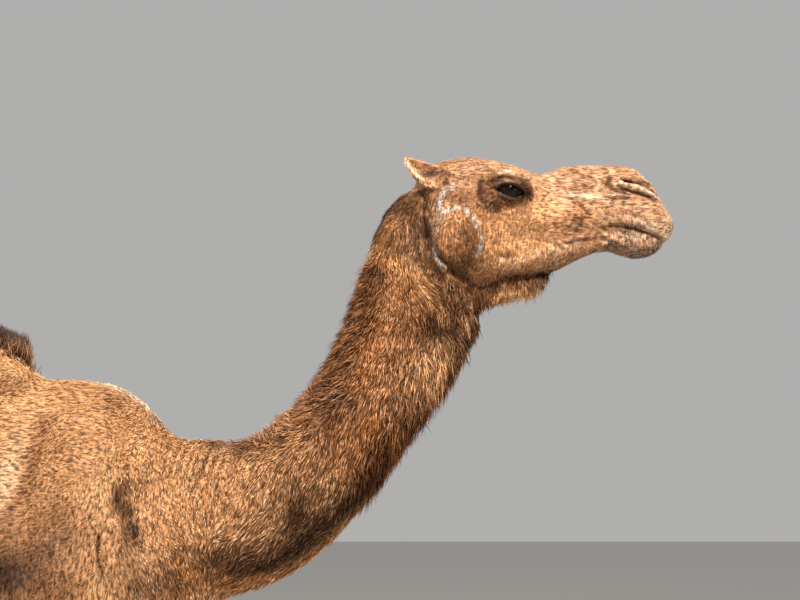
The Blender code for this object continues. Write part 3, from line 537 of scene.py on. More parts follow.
# %% Lips, chin and cheeks
MOUTH = (580, 2066, 538, 2079.5, 521, 2084, 506, 2089, 490, 2094, 473, 2098, 450, 2103.5, 432, 2105, 417, 2104,
         403, 2102)
CHIN_BACK = (394, 2086, 406, 2081, 420, 2076, 442, 2060, 456, 2047)
CHEEK_CREASE = (397, 2083, 378, 2078.5, 355, 2074, 322, 2067)
BEHIND_DISC = (50, 2102, 55, 2071, 66, 2044, 86, 2019, 109, 2000, 143, 1990)
clay.work((moved(MOUTH[:14], 0, 10), -3, 6.5, 0, 0, 0), (478, 2074, 50, 20, 4.5, -8))
clay.work((MOUTH[:14], 6.5, 2.6, 0, 0.12, 0), (MOUTH[8:], 3, 3, 0.2, 0.35, 0), (CHIN_BACK, 4.5, 5, 0.3, 0.25),
          (CHEEK_CREASE, 3, 3, 0.4, 0.3))
x, y, z = clay.side.T
cleft = bell(y, 0, 3.2 * MM) * ramp(2.150, 2.135, z) * ramp(2.088, 2.094, z) * ramp(0.50, 0.52, x)
clay.co[:, 0] -= 4.5 * MM * cleft
clay.co[:, 2] -= 2.0 * MM * blob(clay.side, 505, 2055, 30, 10) * ramp(0.03, 0.0, y)
clay.done()
clay.work(
    (118, 2062, 34, 48, 6.5, 8), (BEHIND_DISC, 8, 8, 0.25), ((165, 2085, 168, 2060, 162, 2035), 2.5, 7, 0.2),
    ((196, 2038, 210, 2036, 228, 2042), 3, 6, 0.3),
    ((205, 2024, 245, 2026, 290, 2044, 330, 2058), -3.5, 9, 0.2), (JAW_EDGE, 4, 4, 0.3),
    ((300, 2120, 255, 2105, 200, 2095), -3, 14, 0.2), (125, 2185, 22, 18, -5),
    ((98, 2208, 104, 2194, 100, 2178), 7, 6, 0.2), (225, 2222, 32, 14, 4, -10),
    ((268, 2232, 275, 2215, 270, 2195, 262, 2180), 2.6, 5, 0.4),
    *[((x, 2246, x + 4, 2232, x + 2, 2218), 1.1, 3, 0.5, 0.2, 0) for x in range(165, 238, 18)])
relax(skin.data, 0.35 * zones(clay.side)["head"], 1)
print("head finished with", len(skin.data.vertices), "points")

# %% [markdown]
# ## The ears
# A camel's ear is a short thick leaf, cupped and turned outwards. It is made from a flat grid whose points are
# moved onto a cupped leaf, and Solidify gives it its thickness. Its root is sunk in the head, under the hair.

# %% Two cupped leaves
EAR_SPOTS = [0, 0.15, 0.40, 0.65, 0.82, 0.94, 1.0]
EAR_HALVES = [0.0200, 0.0230, 0.0235, 0.0205, 0.0145, 0.0080, 0.0040]
EAR_THICK, EAR_CUP = 0.0048, 0.013

def make_ear(hand):
    """One ear; the left one's tip stands a little further ahead."""
    pick()
    bpy.ops.mesh.primitive_grid_add(x_subdivisions=22, y_subdivisions=14, size=2)
    ear = bpy.context.object
    root, tip = np.array([0.094, 0.062, 2.197]), np.array([0.0125 + 0.018 * (hand > 0), 0.099, 2.2245])
    flat = points_of(ear.data)
    along, across = (flat[:, 0] + 1) / 2, flat[:, 1]
    middle = root + (tip - root) * along[:, None]
    middle[:, 1:] += np.sin(math.pi * along)[:, None] * (0.006, -0.0125)
    half = np.interp(along, EAR_SPOTS, EAR_HALVES)
    cup = EAR_CUP * (1 - across**2) * np.sin(math.pi * np.clip(along, 0.05, 0.97)) ** 0.6
    place = middle + np.array([0.36, 0.10, 0.93]) * (across * half)[:, None]
    place += np.array([0.10, -1.0, 0.0]) * cup[:, None]
    place[:, 1] *= hand
    place[:, 0] += SHIFT_X
    put_points(ear.data, place)
    use_modifier(ear, "SOLIDIFY", thickness=EAR_THICK, offset=0.0, use_rim=True)
    use_modifier(ear, "SUBSURF", levels=1, render_levels=1)
    in_edit_mode(ear, EVERYTHING, (bpy.ops.mesh.normals_make_consistent, dict(inside=False)))
    bpy.ops.object.shade_smooth()
    return ear

ears = [make_ear(1), make_ear(-1)]
skin_points = len(skin.data.vertices)
join(*ears, skin)
print("ears joined; skin has", triangles_of(skin.data), "triangles")

# %% [markdown]
# ## Markings, shared by skin and hair
# The colour of a coat is painted once, point by point on the skin, as an airbrush artist would: a ground colour,
# broad shadows and lights, then small marks along lines. Every tuft later takes the colour of the skin under its
# root, so skin and hair always agree. Colours are given as they look, and turned into light.

# %% Paint box
def paint(red, green, blue):
    """A colour as it looks, 0 to 255, as linear light."""
    c = np.array([red, green, blue]) / 255
    return np.where(c <= 0.04045, c / 12.92, ((c + 0.055) / 1.055) ** 2.4)

GOLD, SAND, CREAM = paint(188, 132, 84), paint(212, 152, 104), paint(246, 210, 174)
BROWN, UMBER, BLACK = paint(118, 70, 37), paint(66, 36, 18), paint(19, 12, 9)
SMOKE, RUST, ASH = paint(124, 90, 70), paint(184, 116, 56), paint(216, 206, 198)
NECK, THROAT_SHADE, TAN = paint(172, 112, 66), paint(98, 52, 22), paint(196, 142, 98)
BRUSH, HIDE, ROSE = paint(54, 38, 36), paint(104, 84, 70), paint(190, 142, 108)
HONEY, AMBER, DEEP_BROWN = paint(232, 172, 118), paint(222, 150, 84), paint(54, 28, 13)
SHELL, LINER, FAWN = paint(238, 202, 172), paint(190, 160, 146), paint(196, 158, 130)
LEG, SHIN, SOLE = paint(192, 146, 102), paint(178, 140, 104), paint(70, 58, 52)

class Painter:
    """Colours of points. Places and widths are in millimetres, strengths in hundredths."""
    def __init__(self, co):
        self.co, self.side = co, plan_of(co)
        self.colour = np.tile(GOLD, (len(co), 1))

    def wash(self, mask, colour, strength):
        m = np.clip(mask * (strength / 100), 0, 1)[:, None]
        self.colour += (colour - self.colour) * m

    def spot(self, x, z, half_x, half_z, colour, strength, turn=0, inner=0):
        mask = blob(self.side, x, z, half_x, half_z, turn) * (self.side[:, 1] >= inner * MM)
        self.wash(mask, colour, strength)

    def stroke(self, points, width, colour, strength, inner=0, broken=0.0):
        """A line of colour, broken up by a fine random field where asked."""
        near, d, _ = near_line(self.side, points, width * MM, inner)
        mask = np.zeros(len(self.side))
        mask[near] = bell(d, 0, width * MM)
        if broken:
            mask[near] *= np.clip(1 + broken * (waves(self.co[near], 0.016, 31) - 0.3), 0, 1.2)
        self.wash(mask, colour, strength)

# %% Paint the animal
CREST_EDGE = (-1300, 1835, -950, 1850, -800, 1862, -757, 1836, -740, 1824, -720, 1826)
co = points_of(skin.data)
art = Painter(co)
side = art.side
zone = zones(side)
t, top, (sx, sy, sz) = zone["t"], zone["top"], side.T
swell_big, swell_mid, swell_fine = waves(co, 0.30, 3), waves(co, 0.085, 4), waves(co, 0.030, 5)
cloud = 0.35 * swell_big + 0.30 * swell_mid
cap = ramp(-0.010, 0.012, sz - height_of(CREST_EDGE, sx)) * (ramp(-1.36, -1.24, sx) * ramp(-0.724, -0.740, sx))
for mask, colour, strength in [
        (ramp(1.16, 1.50, t), SAND, 80),
        (zone["upper_neck"], NECK, 95),
        (ramp(0.95, 1.02, t) * ramp(1.30, 1.10, t), TAN, 75),
        # painted shade: the underside of the upper neck is washed dark for the shade that falls there
        (zone["throat"] * ramp(1.05, 0.90, t), THROAT_SHADE, 85),
        (zone["mane"] * ramp(1.00, 0.80, t), UMBER, 50),
        (zone["head"], SAND, 45),
        (zone["head"] * ramp(0.0, 0.5, top), ROSE, 75),
        (zone["head"] * ramp(0.45, 0.95, top) * ramp(0.26, 0.20, sx), BROWN, 34),
        (zone["head"] * ramp(0.5, 1.0, top) * ramp(0.14, 0.10, sx), GOLD, 50),
        (zone["muzzle"], ROSE, 60),
        (ramp(-0.2, -0.9, top) * ramp(0.95, 1.05, t) * ramp(1.02, 0.98, sz), RUST, 50),
        (ramp(-0.5, -0.95, top) * zone["trunk"], TAN, 50),
        (zone["leg"], LEG, 60),
        (zone["leg"] * ramp(0.55, 0.25, sz), SHIN, 50),
        (zone["hide"] * ramp(0.985, 0.960, sz), HIDE, 95),
        (blob(side, -700, 600, 60, 35), HIDE, 50),
        (zone["sole"], SOLE, 100),
        (zone["tail"] * ramp(1.25, 1.10, sz), UMBER, 75),
        (np.clip(cloud, 0, 1), CREAM, 14),
        (np.clip(-cloud, 0, 1), BROWN, 40),
        (cap, BRUSH, 96)]:
    art.wash(mask, colour, strength)

# %% Neck and shoulder marks
# x, z, half width, half height, colour, strength, turn in degrees
PATCHES = [
    (-188, 1548, 60, 66, BROWN, 65), (-190, 1548, 34, 50, DEEP_BROWN, 97),
    (20, 2130, 40, 60, BROWN, 75, 20), (0, 2150, 30, 40, UMBER, 45, 30), (-50, 2016, 22, 18, UMBER, 90, 20),
    (-4, 2040, 20, 16, TAN, 40), (-2, 1970, 34, 34, TAN, 35), (-20, 1869, 12, 30, SAND, 55, 10),
    (74, 1900, 36, 22, BLACK, 95, -15), (120, 1880, 40, 50, UMBER, 45, -30), (43, 1897, 12, 10, UMBER, 80),
    (25, 1880, 12, 10, UMBER, 55), (90, 1868, 20, 14, UMBER, 55, -20), (10, 1830, 16, 30, UMBER, 45, -20),
    (13, 1800, 10, 16, UMBER, 55), (-67, 1821, 12, 14, UMBER, 45), (-9, 1774, 12, 18, UMBER, 50),
    (-100, 1748, 14, 16, UMBER, 75), (-52, 1712, 18, 30, RUST, 50, 20), (31, 1715, 18, 30, UMBER, 75, -20),
    (0, 1695, 16, 30, UMBER, 70, -20), (-10, 1690, 45, 60, RUST, 30, 20), (0, 1770, 50, 50, HONEY, 30, 20),
    # the dark spot at 165, 1955 is painted shade under the jaw
    # the honey spot at 58, 1828 is painted light on the lit front edge of the neck
    (58, 1828, 34, 38, HONEY, 72, -20), (165, 1955, 36, 30, THROAT_SHADE, 92), (43, 1990, 50, 50, BROWN, 28),
    (150, 1925, 30, 20, UMBER, 50), (-349, 1527, 30, 35, SMOKE, 35), (-198, 1544, 30, 45, UMBER, 60, -15),
    (-138, 1658, 20, 24, SMOKE, 40), (-133, 1748, 60, 55, SMOKE, 55), (-700, 1760, 70, 40, HONEY, 40),
    (-640, 1800, 50, 20, HONEY, 30), (-300, 1662, 38, 18, BROWN, 65, 20), (-380, 1560, 80, 40, SAND, 45),
    (-300, 1520, 90, 50, SAND, 25, 20), (-606, 1484, 50, 24, SMOKE, 90, 25),
    # the umber and black spots round 690, 1440 and 655, 1405 are painted shadow low behind the shoulder
    (-690, 1440, 60, 50, UMBER, 95, 30), (-690, 1440, 30, 34, BLACK, 60, 10), (-664, 1424, 18, 16, BLACK, 60),
    (-655, 1405, 80, 35, UMBER, 50, 20), (-560, 1375, 30, 26, BROWN, 40), (-640, 1435, 40, 20, SMOKE, 60, 25),
    # the black spot at 476, 1503 is painted shade at the foot of the recess before the shoulder
    (-560, 1420, 80, 35, BROWN, 50, 10), (-476, 1503, 8, 13, BLACK, 92, 8), (-518, 1420, 24, 34, HONEY, 88),
    (-467, 1418, 12, 24, UMBER, 60), (-400, 1440, 40, 30, BROWN, 45), (-481, 1468, 14, 22, SMOKE, 40),
    (-720, 1600, 24, 80, CREAM, 35), (-555, 1743, 12, 18, UMBER, 50), (-677, 1802, 7, 4, UMBER, 70),
    (-720, 1822, 16, 14, TAN, 60), (-412, 1412, 50, 34, UMBER, 72), (-706, 1510, 22, 30, UMBER, 72),
    (-600, 1543, 40, 28, BROWN, 60), (-280, 1464, 38, 22, UMBER, 85, -10), (-166, 1548, 20, 28, UMBER, 75),
    # the honey spot at 84, 1842 is painted light on the lit front edge of the neck
    (-14, 1740, 20, 34, UMBER, 60, -20), (84, 1842, 20, 46, HONEY, 50, -20), (-512, 1606, 24, 34, HONEY, 60),
    (-10, 2060, 18, 24, HONEY, 45, 20),
]
for patch in PATCHES:
    art.spot(*patch)

# painted shadow: a dark band along the underside of the lower neck
LOW_NECK_SHADOW = (-347, 1459, -318, 1441, -281, 1436, -243, 1443, -210, 1461, -174, 1488, -138, 1518, -102, 1554,
            -78, 1583, -53, 1614, -29, 1655)
# painted light: a rusty strip along the very bottom of the neck, lit by light thrown up from below
BOUNCE_LIT_EDGE = (-400, 1430, -334, 1411, -273, 1411, -212, 1425, -170, 1446, -130, 1474, -85, 1520)
NAPE = (25, 2196, -15, 2160, -43, 2115, -58, 2080, -77, 2036, -90, 2000, -100, 1950, -125, 1885, -165, 1805)
# points, width, colour, strength
LINES = [
    (LOW_NECK_SHADOW, 24, DEEP_BROWN, 97), (BOUNCE_LIT_EDGE, 13, RUST, 60), (NAPE, 16, UMBER, 70),
    ((29, 2098, 36, 2040, 55, 1986, 81, 1940, 95, 1910), 8, UMBER, 75),
    ((52, 2080, 62, 2040, 82, 2000, 110, 1960), 8.5, UMBER, 80),
    ((99, 1975, 112, 1944, 127, 1921, 145, 1890), 6.5, UMBER, 85),
    ((105, 1982, 131, 1951, 150, 1915), 7, BLACK, 60),
    ((23, 2017, 40, 1970, 66, 1932, 80, 1918), 3.2, HONEY, 55),
    ((36, 2009, 57, 1970, 81, 1936, 92, 1921), 3, HONEY, 60), ((47, 1993, 73, 1951, 97, 1921), 3, HONEY, 50),
    ((93, 1996, 115, 1957, 130, 1911, 137, 1881), 3.4, HONEY, 45),
    ((116, 1986, 138, 1951, 149, 1921), 3, HONEY, 45), ((120, 1880, 95, 1800, 60, 1730), 10, UMBER, 55),
    ((80, 1850, 60, 1780, 30, 1720), 8, UMBER, 50), ((135, 1860, 115, 1790, 85, 1730), 8, RUST, 40),
    ((39, 2183, 52, 2150, 48, 2112), 4.5, UMBER, 80),
    ((-16, 2098, -36, 2066, -26, 2037, -3, 2013), 11, AMBER, 80),
    ((-5, 2076, -6, 2050, -3, 2026), 4, AMBER, 80), ((-14, 2084, -22, 2062, -16, 2036), 2.6, UMBER, 75),
    ((-28, 2058, -20, 2036, -8, 2022), 2.6, HONEY, 75), ((110, 1850, 100, 1810, 80, 1760), 14, BROWN, 45),
    # painted shade: a brown band down the rear edge of the shoulder blade, where its shadow falls, and the umber
    # and black lines in the recess and folds before the shoulder; the sand line beside the black fold is painted
    # light on its ridge
    ((-673, 1713, -674, 1665, -678, 1612, -690, 1568, -706, 1530), 16, BROWN, 66), (RECESS, 7.5, UMBER, 70),
    ((-514, 1588, -514, 1566, -508, 1546), 4, UMBER, 85),
    ((-503, 1578, -501, 1558, -494, 1538), 3.6, BLACK, 70), ((-492, 1560, -488, 1540), 3.4, UMBER, 75),
    ((-487, 1516, -482, 1497), 6.5, BLACK, 80), (BLACK_FOLD, 3, BLACK, 100),
    (BESIDE_FOLD, 10, SAND, 60),
    # the cream line along the withers is a painted highlight on their ridge
    ((-600, 1792, -560, 1781, -523, 1760, -493, 1736, -462, 1708), 8, CREAM, 50),
    ((-633, 1783, -607, 1776, -575, 1772), 4.5, BROWN, 50),
    ((-350, 1676, -366, 1648, -373, 1612), 7.5, UMBER, 75),
    ((-366, 1664, -316, 1668, -273, 1684, -225, 1716, -190, 1750), 17, SMOKE, 65),
    ((-366, 1672, -334, 1682, -303, 1690, -275, 1703, -215, 1745), 9, UMBER, 80),
]
# the finest lines are drawn again on each tuft, because a skin point is too coarse to hold them
THIN, THIN_BODY, THIN_HEAD = [], 6.2, 3.7
for points, width, colour, strength in LINES:
    art.stroke(points, width, colour, strength)
    if width < THIN_BODY:
        THIN.append((points, width, colour, strength))
# painted shade and highlight: the neck's upright wrinkles are brown in their grooves and honey on their ridges,
# also on the thin copies drawn on the tufts
for folds, colour, width, strength, thin_width, thin_strength in (
        (GROOVES, BROWN, 3.6, 60, 3.0, 70), (RIDGES, HONEY, 3.4, 62, 2.6, 55)):
    for *ends, share in folds:
        art.stroke(ends, width, colour, strength * share)
        THIN.append((ends, thin_width, colour, thin_strength * share))

# %% Head marks
HEAD_SPOTS = [
    (375, 2115, 100, 40, SAND, 35), (280, 2110, 100, 55, SAND, 45), (470, 2122, 65, 18, BROWN, 55, -12),
    (478, 2072, 62, 24, BROWN, 62, 4), (480, 2088, 45, 10, UMBER, 55, -12), (500, 2056, 40, 10, UMBER, 55, 4),
    (400, 2205, 50, 25, BROWN, 22, -8), (510, 2100, 60, 13, CREAM, 40, -14),
    (475, 2082, 50, 10, CREAM, 32, -6), (552, 2105, 14, 30, CREAM, 35, 10), (220, 2000, 80, 14, BROWN, 55, 12),
    (128, 2157, 40, 22, BROWN, 68), (76, 2164, 22, 22, BROWN, 60), (232, 2088, 44, 24, HONEY, 75),
    (358, 2078, 38, 20, BROWN, 70, 10), (362, 2114, 26, 20, BROWN, 70), (452, 2182, 44, 22, BROWN, 50),
    (500, 2158, 24, 16, BROWN, 45),
]
EYE_SPOTS = [
    (172, 2156, 24, 30, BROWN, 85, 20), (190, 2141, 22, 15, UMBER, 92, -20),
    (197, 2138, 13, 8, BLACK, 55, -20), (166, 2168, 10, 18, UMBER, 80), (252, 2168, 13, 17, BLACK, 62),
    (205, 2136, 20, 8, UMBER, 60, 10),
]
CHEEK_RING = (112, 2184, 89, 2167, 82, 2151, 80, 2132, 84, 2122)
CHEEK_REAR = (84, 2122, 80, 2108, 71, 2088, 67, 2070, 69, 2048, 79, 2023, 93, 2012)
CHEEK_ARCH = (88, 2126, 110, 2131, 126, 2131, 140, 2118, 152, 2104)
CHEEK_FRONT = (150, 2106, 157, 2087, 164, 2073, 160, 2055, 147, 2033)
# points, width, colour, strength, least distance from the middle plane
FINE_LINES = [
    # the umber line along the jaw's lower edge toward the chin is painted shade where the jaw turns under
    ((286, 2012, 318, 2023, 349, 2034, 380, 2047, 402, 2061), 3.4, UMBER, 80),
    ((310, 2064, 356, 2072, 395, 2080), 2.8, UMBER, 55),
    ((201, 2024, 240, 2026, 285, 2045, 330, 2060), 10, CREAM, 22),
    ((196, 2038, 212, 2036, 228, 2042), 5.5, BROWN, 65),
    # the cream line along the ridge behind the nostril is a painted highlight
    ((345, 2168, 357, 2168, 373, 2166, 393, 2163, 412, 2162), 6, CREAM, 55),
    # the brown and dark lines in the folds behind the lip, along the snout crease, in the groove before the
    # nostril, under its rim and in its slit are painted shade in those hollows
    ((350, 2152, 368, 2146, 376, 2131, 377, 2119, 366, 2110), 6, BROWN, 65),
    (LIP_FOLD, 6, BROWN, 50),
    (SNOUT_CREASE, 2.6, UMBER, 85),
    (SNOUT_EDGE, 2.6, CREAM, 50),
    ((427, 2206, 425, 2192, 436, 2180, 457, 2176), 7, UMBER, 75, 12), (UNDER, 4.2, UMBER, 95, 12),
    (RIM, 2.8, SHELL, 85, 12), (SLIT, 3.6, BLACK, 100, 10),
    # the black mouth line and the soft umber band along it are painted shade in the gap under the upper lip, and
    # the umber line behind the chin is painted shadow
    ((455, 2208, 480, 2206, 510, 2192), 5, BROWN, 45, 12), (MOUTH, 3.6, BLACK, 90),
    ((440, 2102, 470, 2095, 500, 2088), 8.5, UMBER, 50), (CHIN_BACK, 5.5, UMBER, 55),
    ((422, 2066, 462, 2052, 501, 2049, 525, 2062), 5, UMBER, 70),
    ((420, 2100, 448, 2110, 480, 2106, 520, 2095), 5.5, BROWN, 50),
    # the cheek crease, the jaw's lower edge and the rear edge of the cheek disc are painted darker as shade, where
    # the jaw turns under and the disc stands out
    (CHEEK_CREASE, 3, UMBER, 60), (JAW_EDGE, 8.5, BROWN, 45),
    (JAW_EDGE, 3, BLACK, 85), (BEHIND_DISC, 10.5, UMBER, 90),
    ((136, 2104, 146, 2080, 148, 2055, 138, 2030), 8, BROWN, 65),
    ((87, 2100, 80, 2075, 82, 2050), 6, BROWN, 30), ((102, 2166, 116, 2158, 128, 2146), 10, BROWN, 50, 30),
    ((94, 2199, 92, 2182), 4.5, UMBER, 85, 30),
    ((175, 2187, 191, 2189, 208, 2191, 226, 2189, 241, 2184, 253, 2174, 260, 2163), 6, UMBER, 80, 30),
    ((164, 2190, 156, 2173, 159, 2151, 171, 2134, 190, 2126, 204, 2133), 5.5, UMBER, 75, 30),
    # the umber arc just above the upper lid is painted shade under the hooded lid
    ((200, 2144, 220, 2137, 238, 2142), 6.5, BROWN, 65, 30), (arc(17, -2.8, 1.02), 4.2, UMBER, 75, 30),
    (arc(-18, 0, 1.02), 1.3, LINER, 40, 30),
    ((200, 2200, 211, 2202, 224, 2198), 3.8, CREAM, 65, 30),
    ((196, 2180, 210, 2183, 226, 2180), 3.4, FAWN, 42, 30), (CHEEK_RING, 5.2, ASH, 85),
    (CHEEK_REAR, 2.6, ASH, 50), (CHEEK_ARCH, 4.2, ASH, 75), (CHEEK_FRONT, 4.2, ASH, 75),
    ((497, 2099, 520, 2093, 545, 2086), 3.6, CREAM, 50),
]
EAR_LINES = [
    ((12, 2223, 21, 2209, 31, 2198, 44, 2190), 4, CREAM, 90), ((47, 2199, 60, 2200, 68, 2207), 4.5, UMBER, 90),
    ((30, 2189, 45, 2184, 60, 2182), 3, UMBER, 75), ((26, 2220, 40, 2214, 56, 2212), 6, SAND, 70),
]
out, _, _ = almond(side)
near_eye, is_ear = sy > 0.03, np.arange(len(co)) >= skin_points
for spot in HEAD_SPOTS:
    art.spot(*spot)
art.wash(near_eye * ramp(0.026, 0.004, out), UMBER, 62)
art.wash(near_eye * ramp(0.010, 0.003, out), UMBER, 92)
for spot in EYE_SPOTS:
    art.spot(*spot, inner=30)
for spot in ((112, 2060, 36, 50, BROWN, 50, 8), (118, 2022, 34, 14, UMBER, 60), (138, 2062, 18, 34, UMBER, 62, 8)):
    art.spot(*spot)
for points, width, colour, strength, *inner in FINE_LINES:
    art.stroke(points, width, colour, strength, *inner, broken=0.75 if colour is ASH and width > 3 else 0.0)
    if width < THIN_HEAD and colour is not ASH:
        THIN.append((points, width, colour, 0.6 * strength, *inner))
art.wash(near_eye * ramp(0.0065, 0.0015, out), BLACK, 94)
art.wash(is_ear, ROSE, 75)
for points, width, colour, strength in EAR_LINES:
    distance = to_line(side[:, [0, 2]], flowing(points))[0]
    art.wash(is_ear * bell(distance, 0, width * MM), colour, strength)
speckle = waves(co, 0.014, 33, 12) * zone["head"] * ~is_ear
art.wash(np.clip(speckle - 0.10, 0, 1), UMBER, 33)
art.wash(np.clip(-speckle - 0.15, 0, 1) * (0.25 + 0.75 * ramp(0.26, 0.32, sx)), CREAM, 22)
art.colour = np.clip(art.colour * (1 + 0.07 * swell_fine + 0.05 * swell_mid)[:, None], 0.004, 0.95)
# grey hairs round the muzzle
frost = np.clip(blob(side, 475, 2118, 78, 26, -12) + 1.3 * blob(side, 480, 2074, 58, 26)
                + 0.8 * blob(side, 552, 2110, 16, 30) + 0.3 * blob(side, 455, 2155, 50, 26), 0, 1)
print("painted", len(co), "points, mean", art.colour.mean(0).round(3))

# %% Where the hair is combed, and where there is none
lie, hair_length, hair_lift, hair_breadth = comb(side, zone)
slit_distance, mouth_distance = (to_line(side[:, [0, 2]], flowing(line))[0] for line in (SLIT, MOUTH))
hide_part = zone["hide"] * ramp(0.985, 0.960, sz) + zone["sole"]
bare = np.clip(hide_part + near_eye * ramp(0.004, 0.001, out), 0, 1)
bare = np.clip(bare + ramp(0.008, 0.005, slit_distance) * (sy > 0.01) + ramp(0.006, 0.003, mouth_distance), 0, 1)
print("combed; hair from", round(hair_length.min() * 1000, 1), "to", round(hair_length.max() * 1000, 1), "mm")

# %% [markdown]
# ## Growing tufts
# Hair strands are far thinner than a model can hold, so the coat is made of tufts: slim closed thorns, each the
# size of a small lock. Roots are strewn evenly over the faces of a region, each tuft leans along the lie, and
# tips draw together into locks, as real fur clumps. A whole region is built at once from arrays of numbers.

# %% Sample roots on the skin
mesh = skin.data
mesh.calc_loop_triangles()
tri, tri_loops = (read(mesh.loop_triangles, name, 3, np.int32) for name in ("vertices", "loops"))
tri_face = read(mesh.loop_triangles, "polygon_index", 1, np.int32)[:, 0]
normal = normals_of(mesh)
corner = co[tri]
tri_area = 0.5 * np.linalg.norm(np.cross(corner[:, 1] - corner[:, 0], corner[:, 2] - corner[:, 0]), axis=1)
tri_middle = corner.mean(1)

def strew(chosen, density, count, seed):
    """Random roots on the chosen triangles, by area and density: triangle and corner weights."""
    draw = np.random.default_rng(seed)
    ids = np.flatnonzero(chosen)
    share = tri_area[ids] * density[tri[ids]].mean(1)
    edges = np.cumsum(share) / share.sum()
    places = np.searchsorted(edges, (np.arange(count) + draw.random(count)) / count)
    a, b = np.sqrt(draw.random(count)), draw.random(count)
    return ids[np.minimum(places, len(ids) - 1)], np.column_stack([1 - a, a * (1 - b), a * b]), draw

def mix(values, picks, weights):
    """A field of the skin's points, read at the roots."""
    at = values[tri[picks]]
    return (at * weights[..., None]).sum(1) if at.ndim == 3 else (at * weights).sum(1)

def unit(v):
    return v / np.maximum(np.linalg.norm(v, axis=1, keepdims=True), 1e-9)

def flatten(v, n):
    """Takes away the part of each v that points along its normal n."""
    return v - n * (v * n).sum(1)[:, None]

def three_waves(place, size, seed, count):
    return np.column_stack([waves(place, size, seed + k, count) for k in range(3)])

def clump(root, size, seed):
    """The middle of each root's lock, and a random number that its lock shares."""
    place = root / size + 0.6 * three_waves(root, size * 3, seed, 4)
    cell = np.floor(place)
    key = cell @ np.array([127.1, 311.7, 74.7]) + seed
    jitter = np.column_stack([np.modf(np.abs(np.sin(key + 12.9 * k)) * 43758.5453)[0] for k in range(4)])
    return (cell + 0.5 + 0.6 * (jitter[:, :3] - 0.5) - place) * size, jitter[:, 3]

# %% Build a piece of coat
SWING = [(1.0, -0.3), (0.0, 0.6), (-1.0, -0.3)]
PROFILE = [1.0, 0.85, 0.55]
BAKE_PATCH, FLOOR_GAP = 0.0015, 0.3 * MM

def store_colour(mesh, rgb):
    data = mesh.color_attributes.new("coat_colour", "FLOAT_COLOR", "POINT").data
    data.foreach_set("color", np.column_stack([rgb, np.ones(len(rgb))]).astype(np.float32).ravel())

def thorn_faces(rings):
    """The triangles of one thorn: three sides between its rings, a flat root and a pointed tip."""
    faces = [(0, 2, 1)]
    for a in range(0, 3 * (rings - 1), 3):
        for k in range(3):
            n = (k + 1) % 3
            faces += [(a + k, a + n, a + 3 + n), (a + k, a + 3 + n, a + 3 + k)]
    last, tip = 3 * (rings - 1), 3 * rings
    return faces + [(tip, last, last + 1), (tip, last + 1, last + 2), (tip, last + 2, last)]

def build_tufts(name, line, side_way, up_way, breadth, colour, shade, root_uv, material):
    """Closed thorns: line holds rings + 1 points for each, from root to tip, with a triangle at all but the tip."""
    count, rings = len(line), line.shape[1] - 1
    parts, tint, uv = [], [], []
    for r in range(rings):
        half = (breadth * 0.5 * PROFILE[r])[:, None]
        for across, rise in SWING:
            parts.append(line[:, r] + side_way * half * across + up_way * half * rise)
            tint.append(shade[r])
            uv.append((across, -1 + 2 * r / rings))
    place = np.stack(parts + [line[:, -1]], 1).reshape(-1, 3)
    place[:, 2] = np.maximum(place[:, 2], FLOOR_GAP)
    tint, uv = np.array(tint + [shade[-1]]), np.array(uv + [(0, 1)])
    faces = np.array(thorn_faces(rings))[None] + (np.arange(count) * len(uv))[:, None, None]
    faces = faces.reshape(-1, 3).astype(np.int32)
    piece = bpy.data.meshes.new(name)
    piece.vertices.add(len(place))
    piece.vertices.foreach_set("co", place.astype(np.float32).ravel())
    piece.loops.add(faces.size)
    piece.loops.foreach_set("vertex_index", faces.ravel())
    piece.polygons.add(len(faces))
    piece.polygons.foreach_set("loop_start", np.arange(len(faces), dtype=np.int32) * 3)
    piece.polygons.foreach_set("use_smooth", np.ones(len(faces), bool))
    piece.update(calc_edges=True)
    store_colour(piece, np.clip((colour[:, None, :] * tint[None, :, None]).reshape(-1, 3), 0, 1))
    flat = np.clip(root_uv[:, None] + BAKE_PATCH * uv, 0.001, 0.999).reshape(-1, 2)
    layer = piece.uv_layers.new(name="OFBake")
    layer.uv.foreach_set("vector", flat[faces.ravel()].astype(np.float32).ravel())
    obj = new_object(name, piece)
    piece.materials.append(material)
    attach(obj, "root")
    print(name, count, "tufts,", len(faces), "triangles")

# %% Grow a region
PALE_HIGHLIGHT, UPWARD = np.array([1.0, 0.68, 0.44]), np.array([0.0, 0.0, 1.0])
ODD_PALE, ODD_DARK, TONE_LEAST, TONE_MOST, HIGHLIGHT_FROM = 0.14, 0.84, 0.24, 2.6, 1.15
LIFT_LEAST, LIFT_MOST, RAISED, RAISED_SHARE = math.radians(4), math.radians(80), math.radians(26), 0.10
SUNK, HANDFUL = 1.2 * MM, 0.05
# each tuft is darker at the root, as painted shade inside the coat, and lighter at the tip, as painted light
ROOT_SHADE_TO_TIP_LIGHT = [0.36, 0.95, 1.34]

def tones(draw, shared, count, contrast):
    """How light each tuft is: locks differ, hairs in a lock differ more, and a few are very pale or very dark."""
    tone = np.exp(contrast * (1.5 * (shared - 0.5) + draw.normal(0, 0.75, count)))
    odd = draw.random(count)
    tone = np.where(odd < ODD_PALE, tone * 1.60, np.where(odd > ODD_DARK, tone * 0.48, tone))
    return np.clip(tone, TONE_LEAST, TONE_MOST)

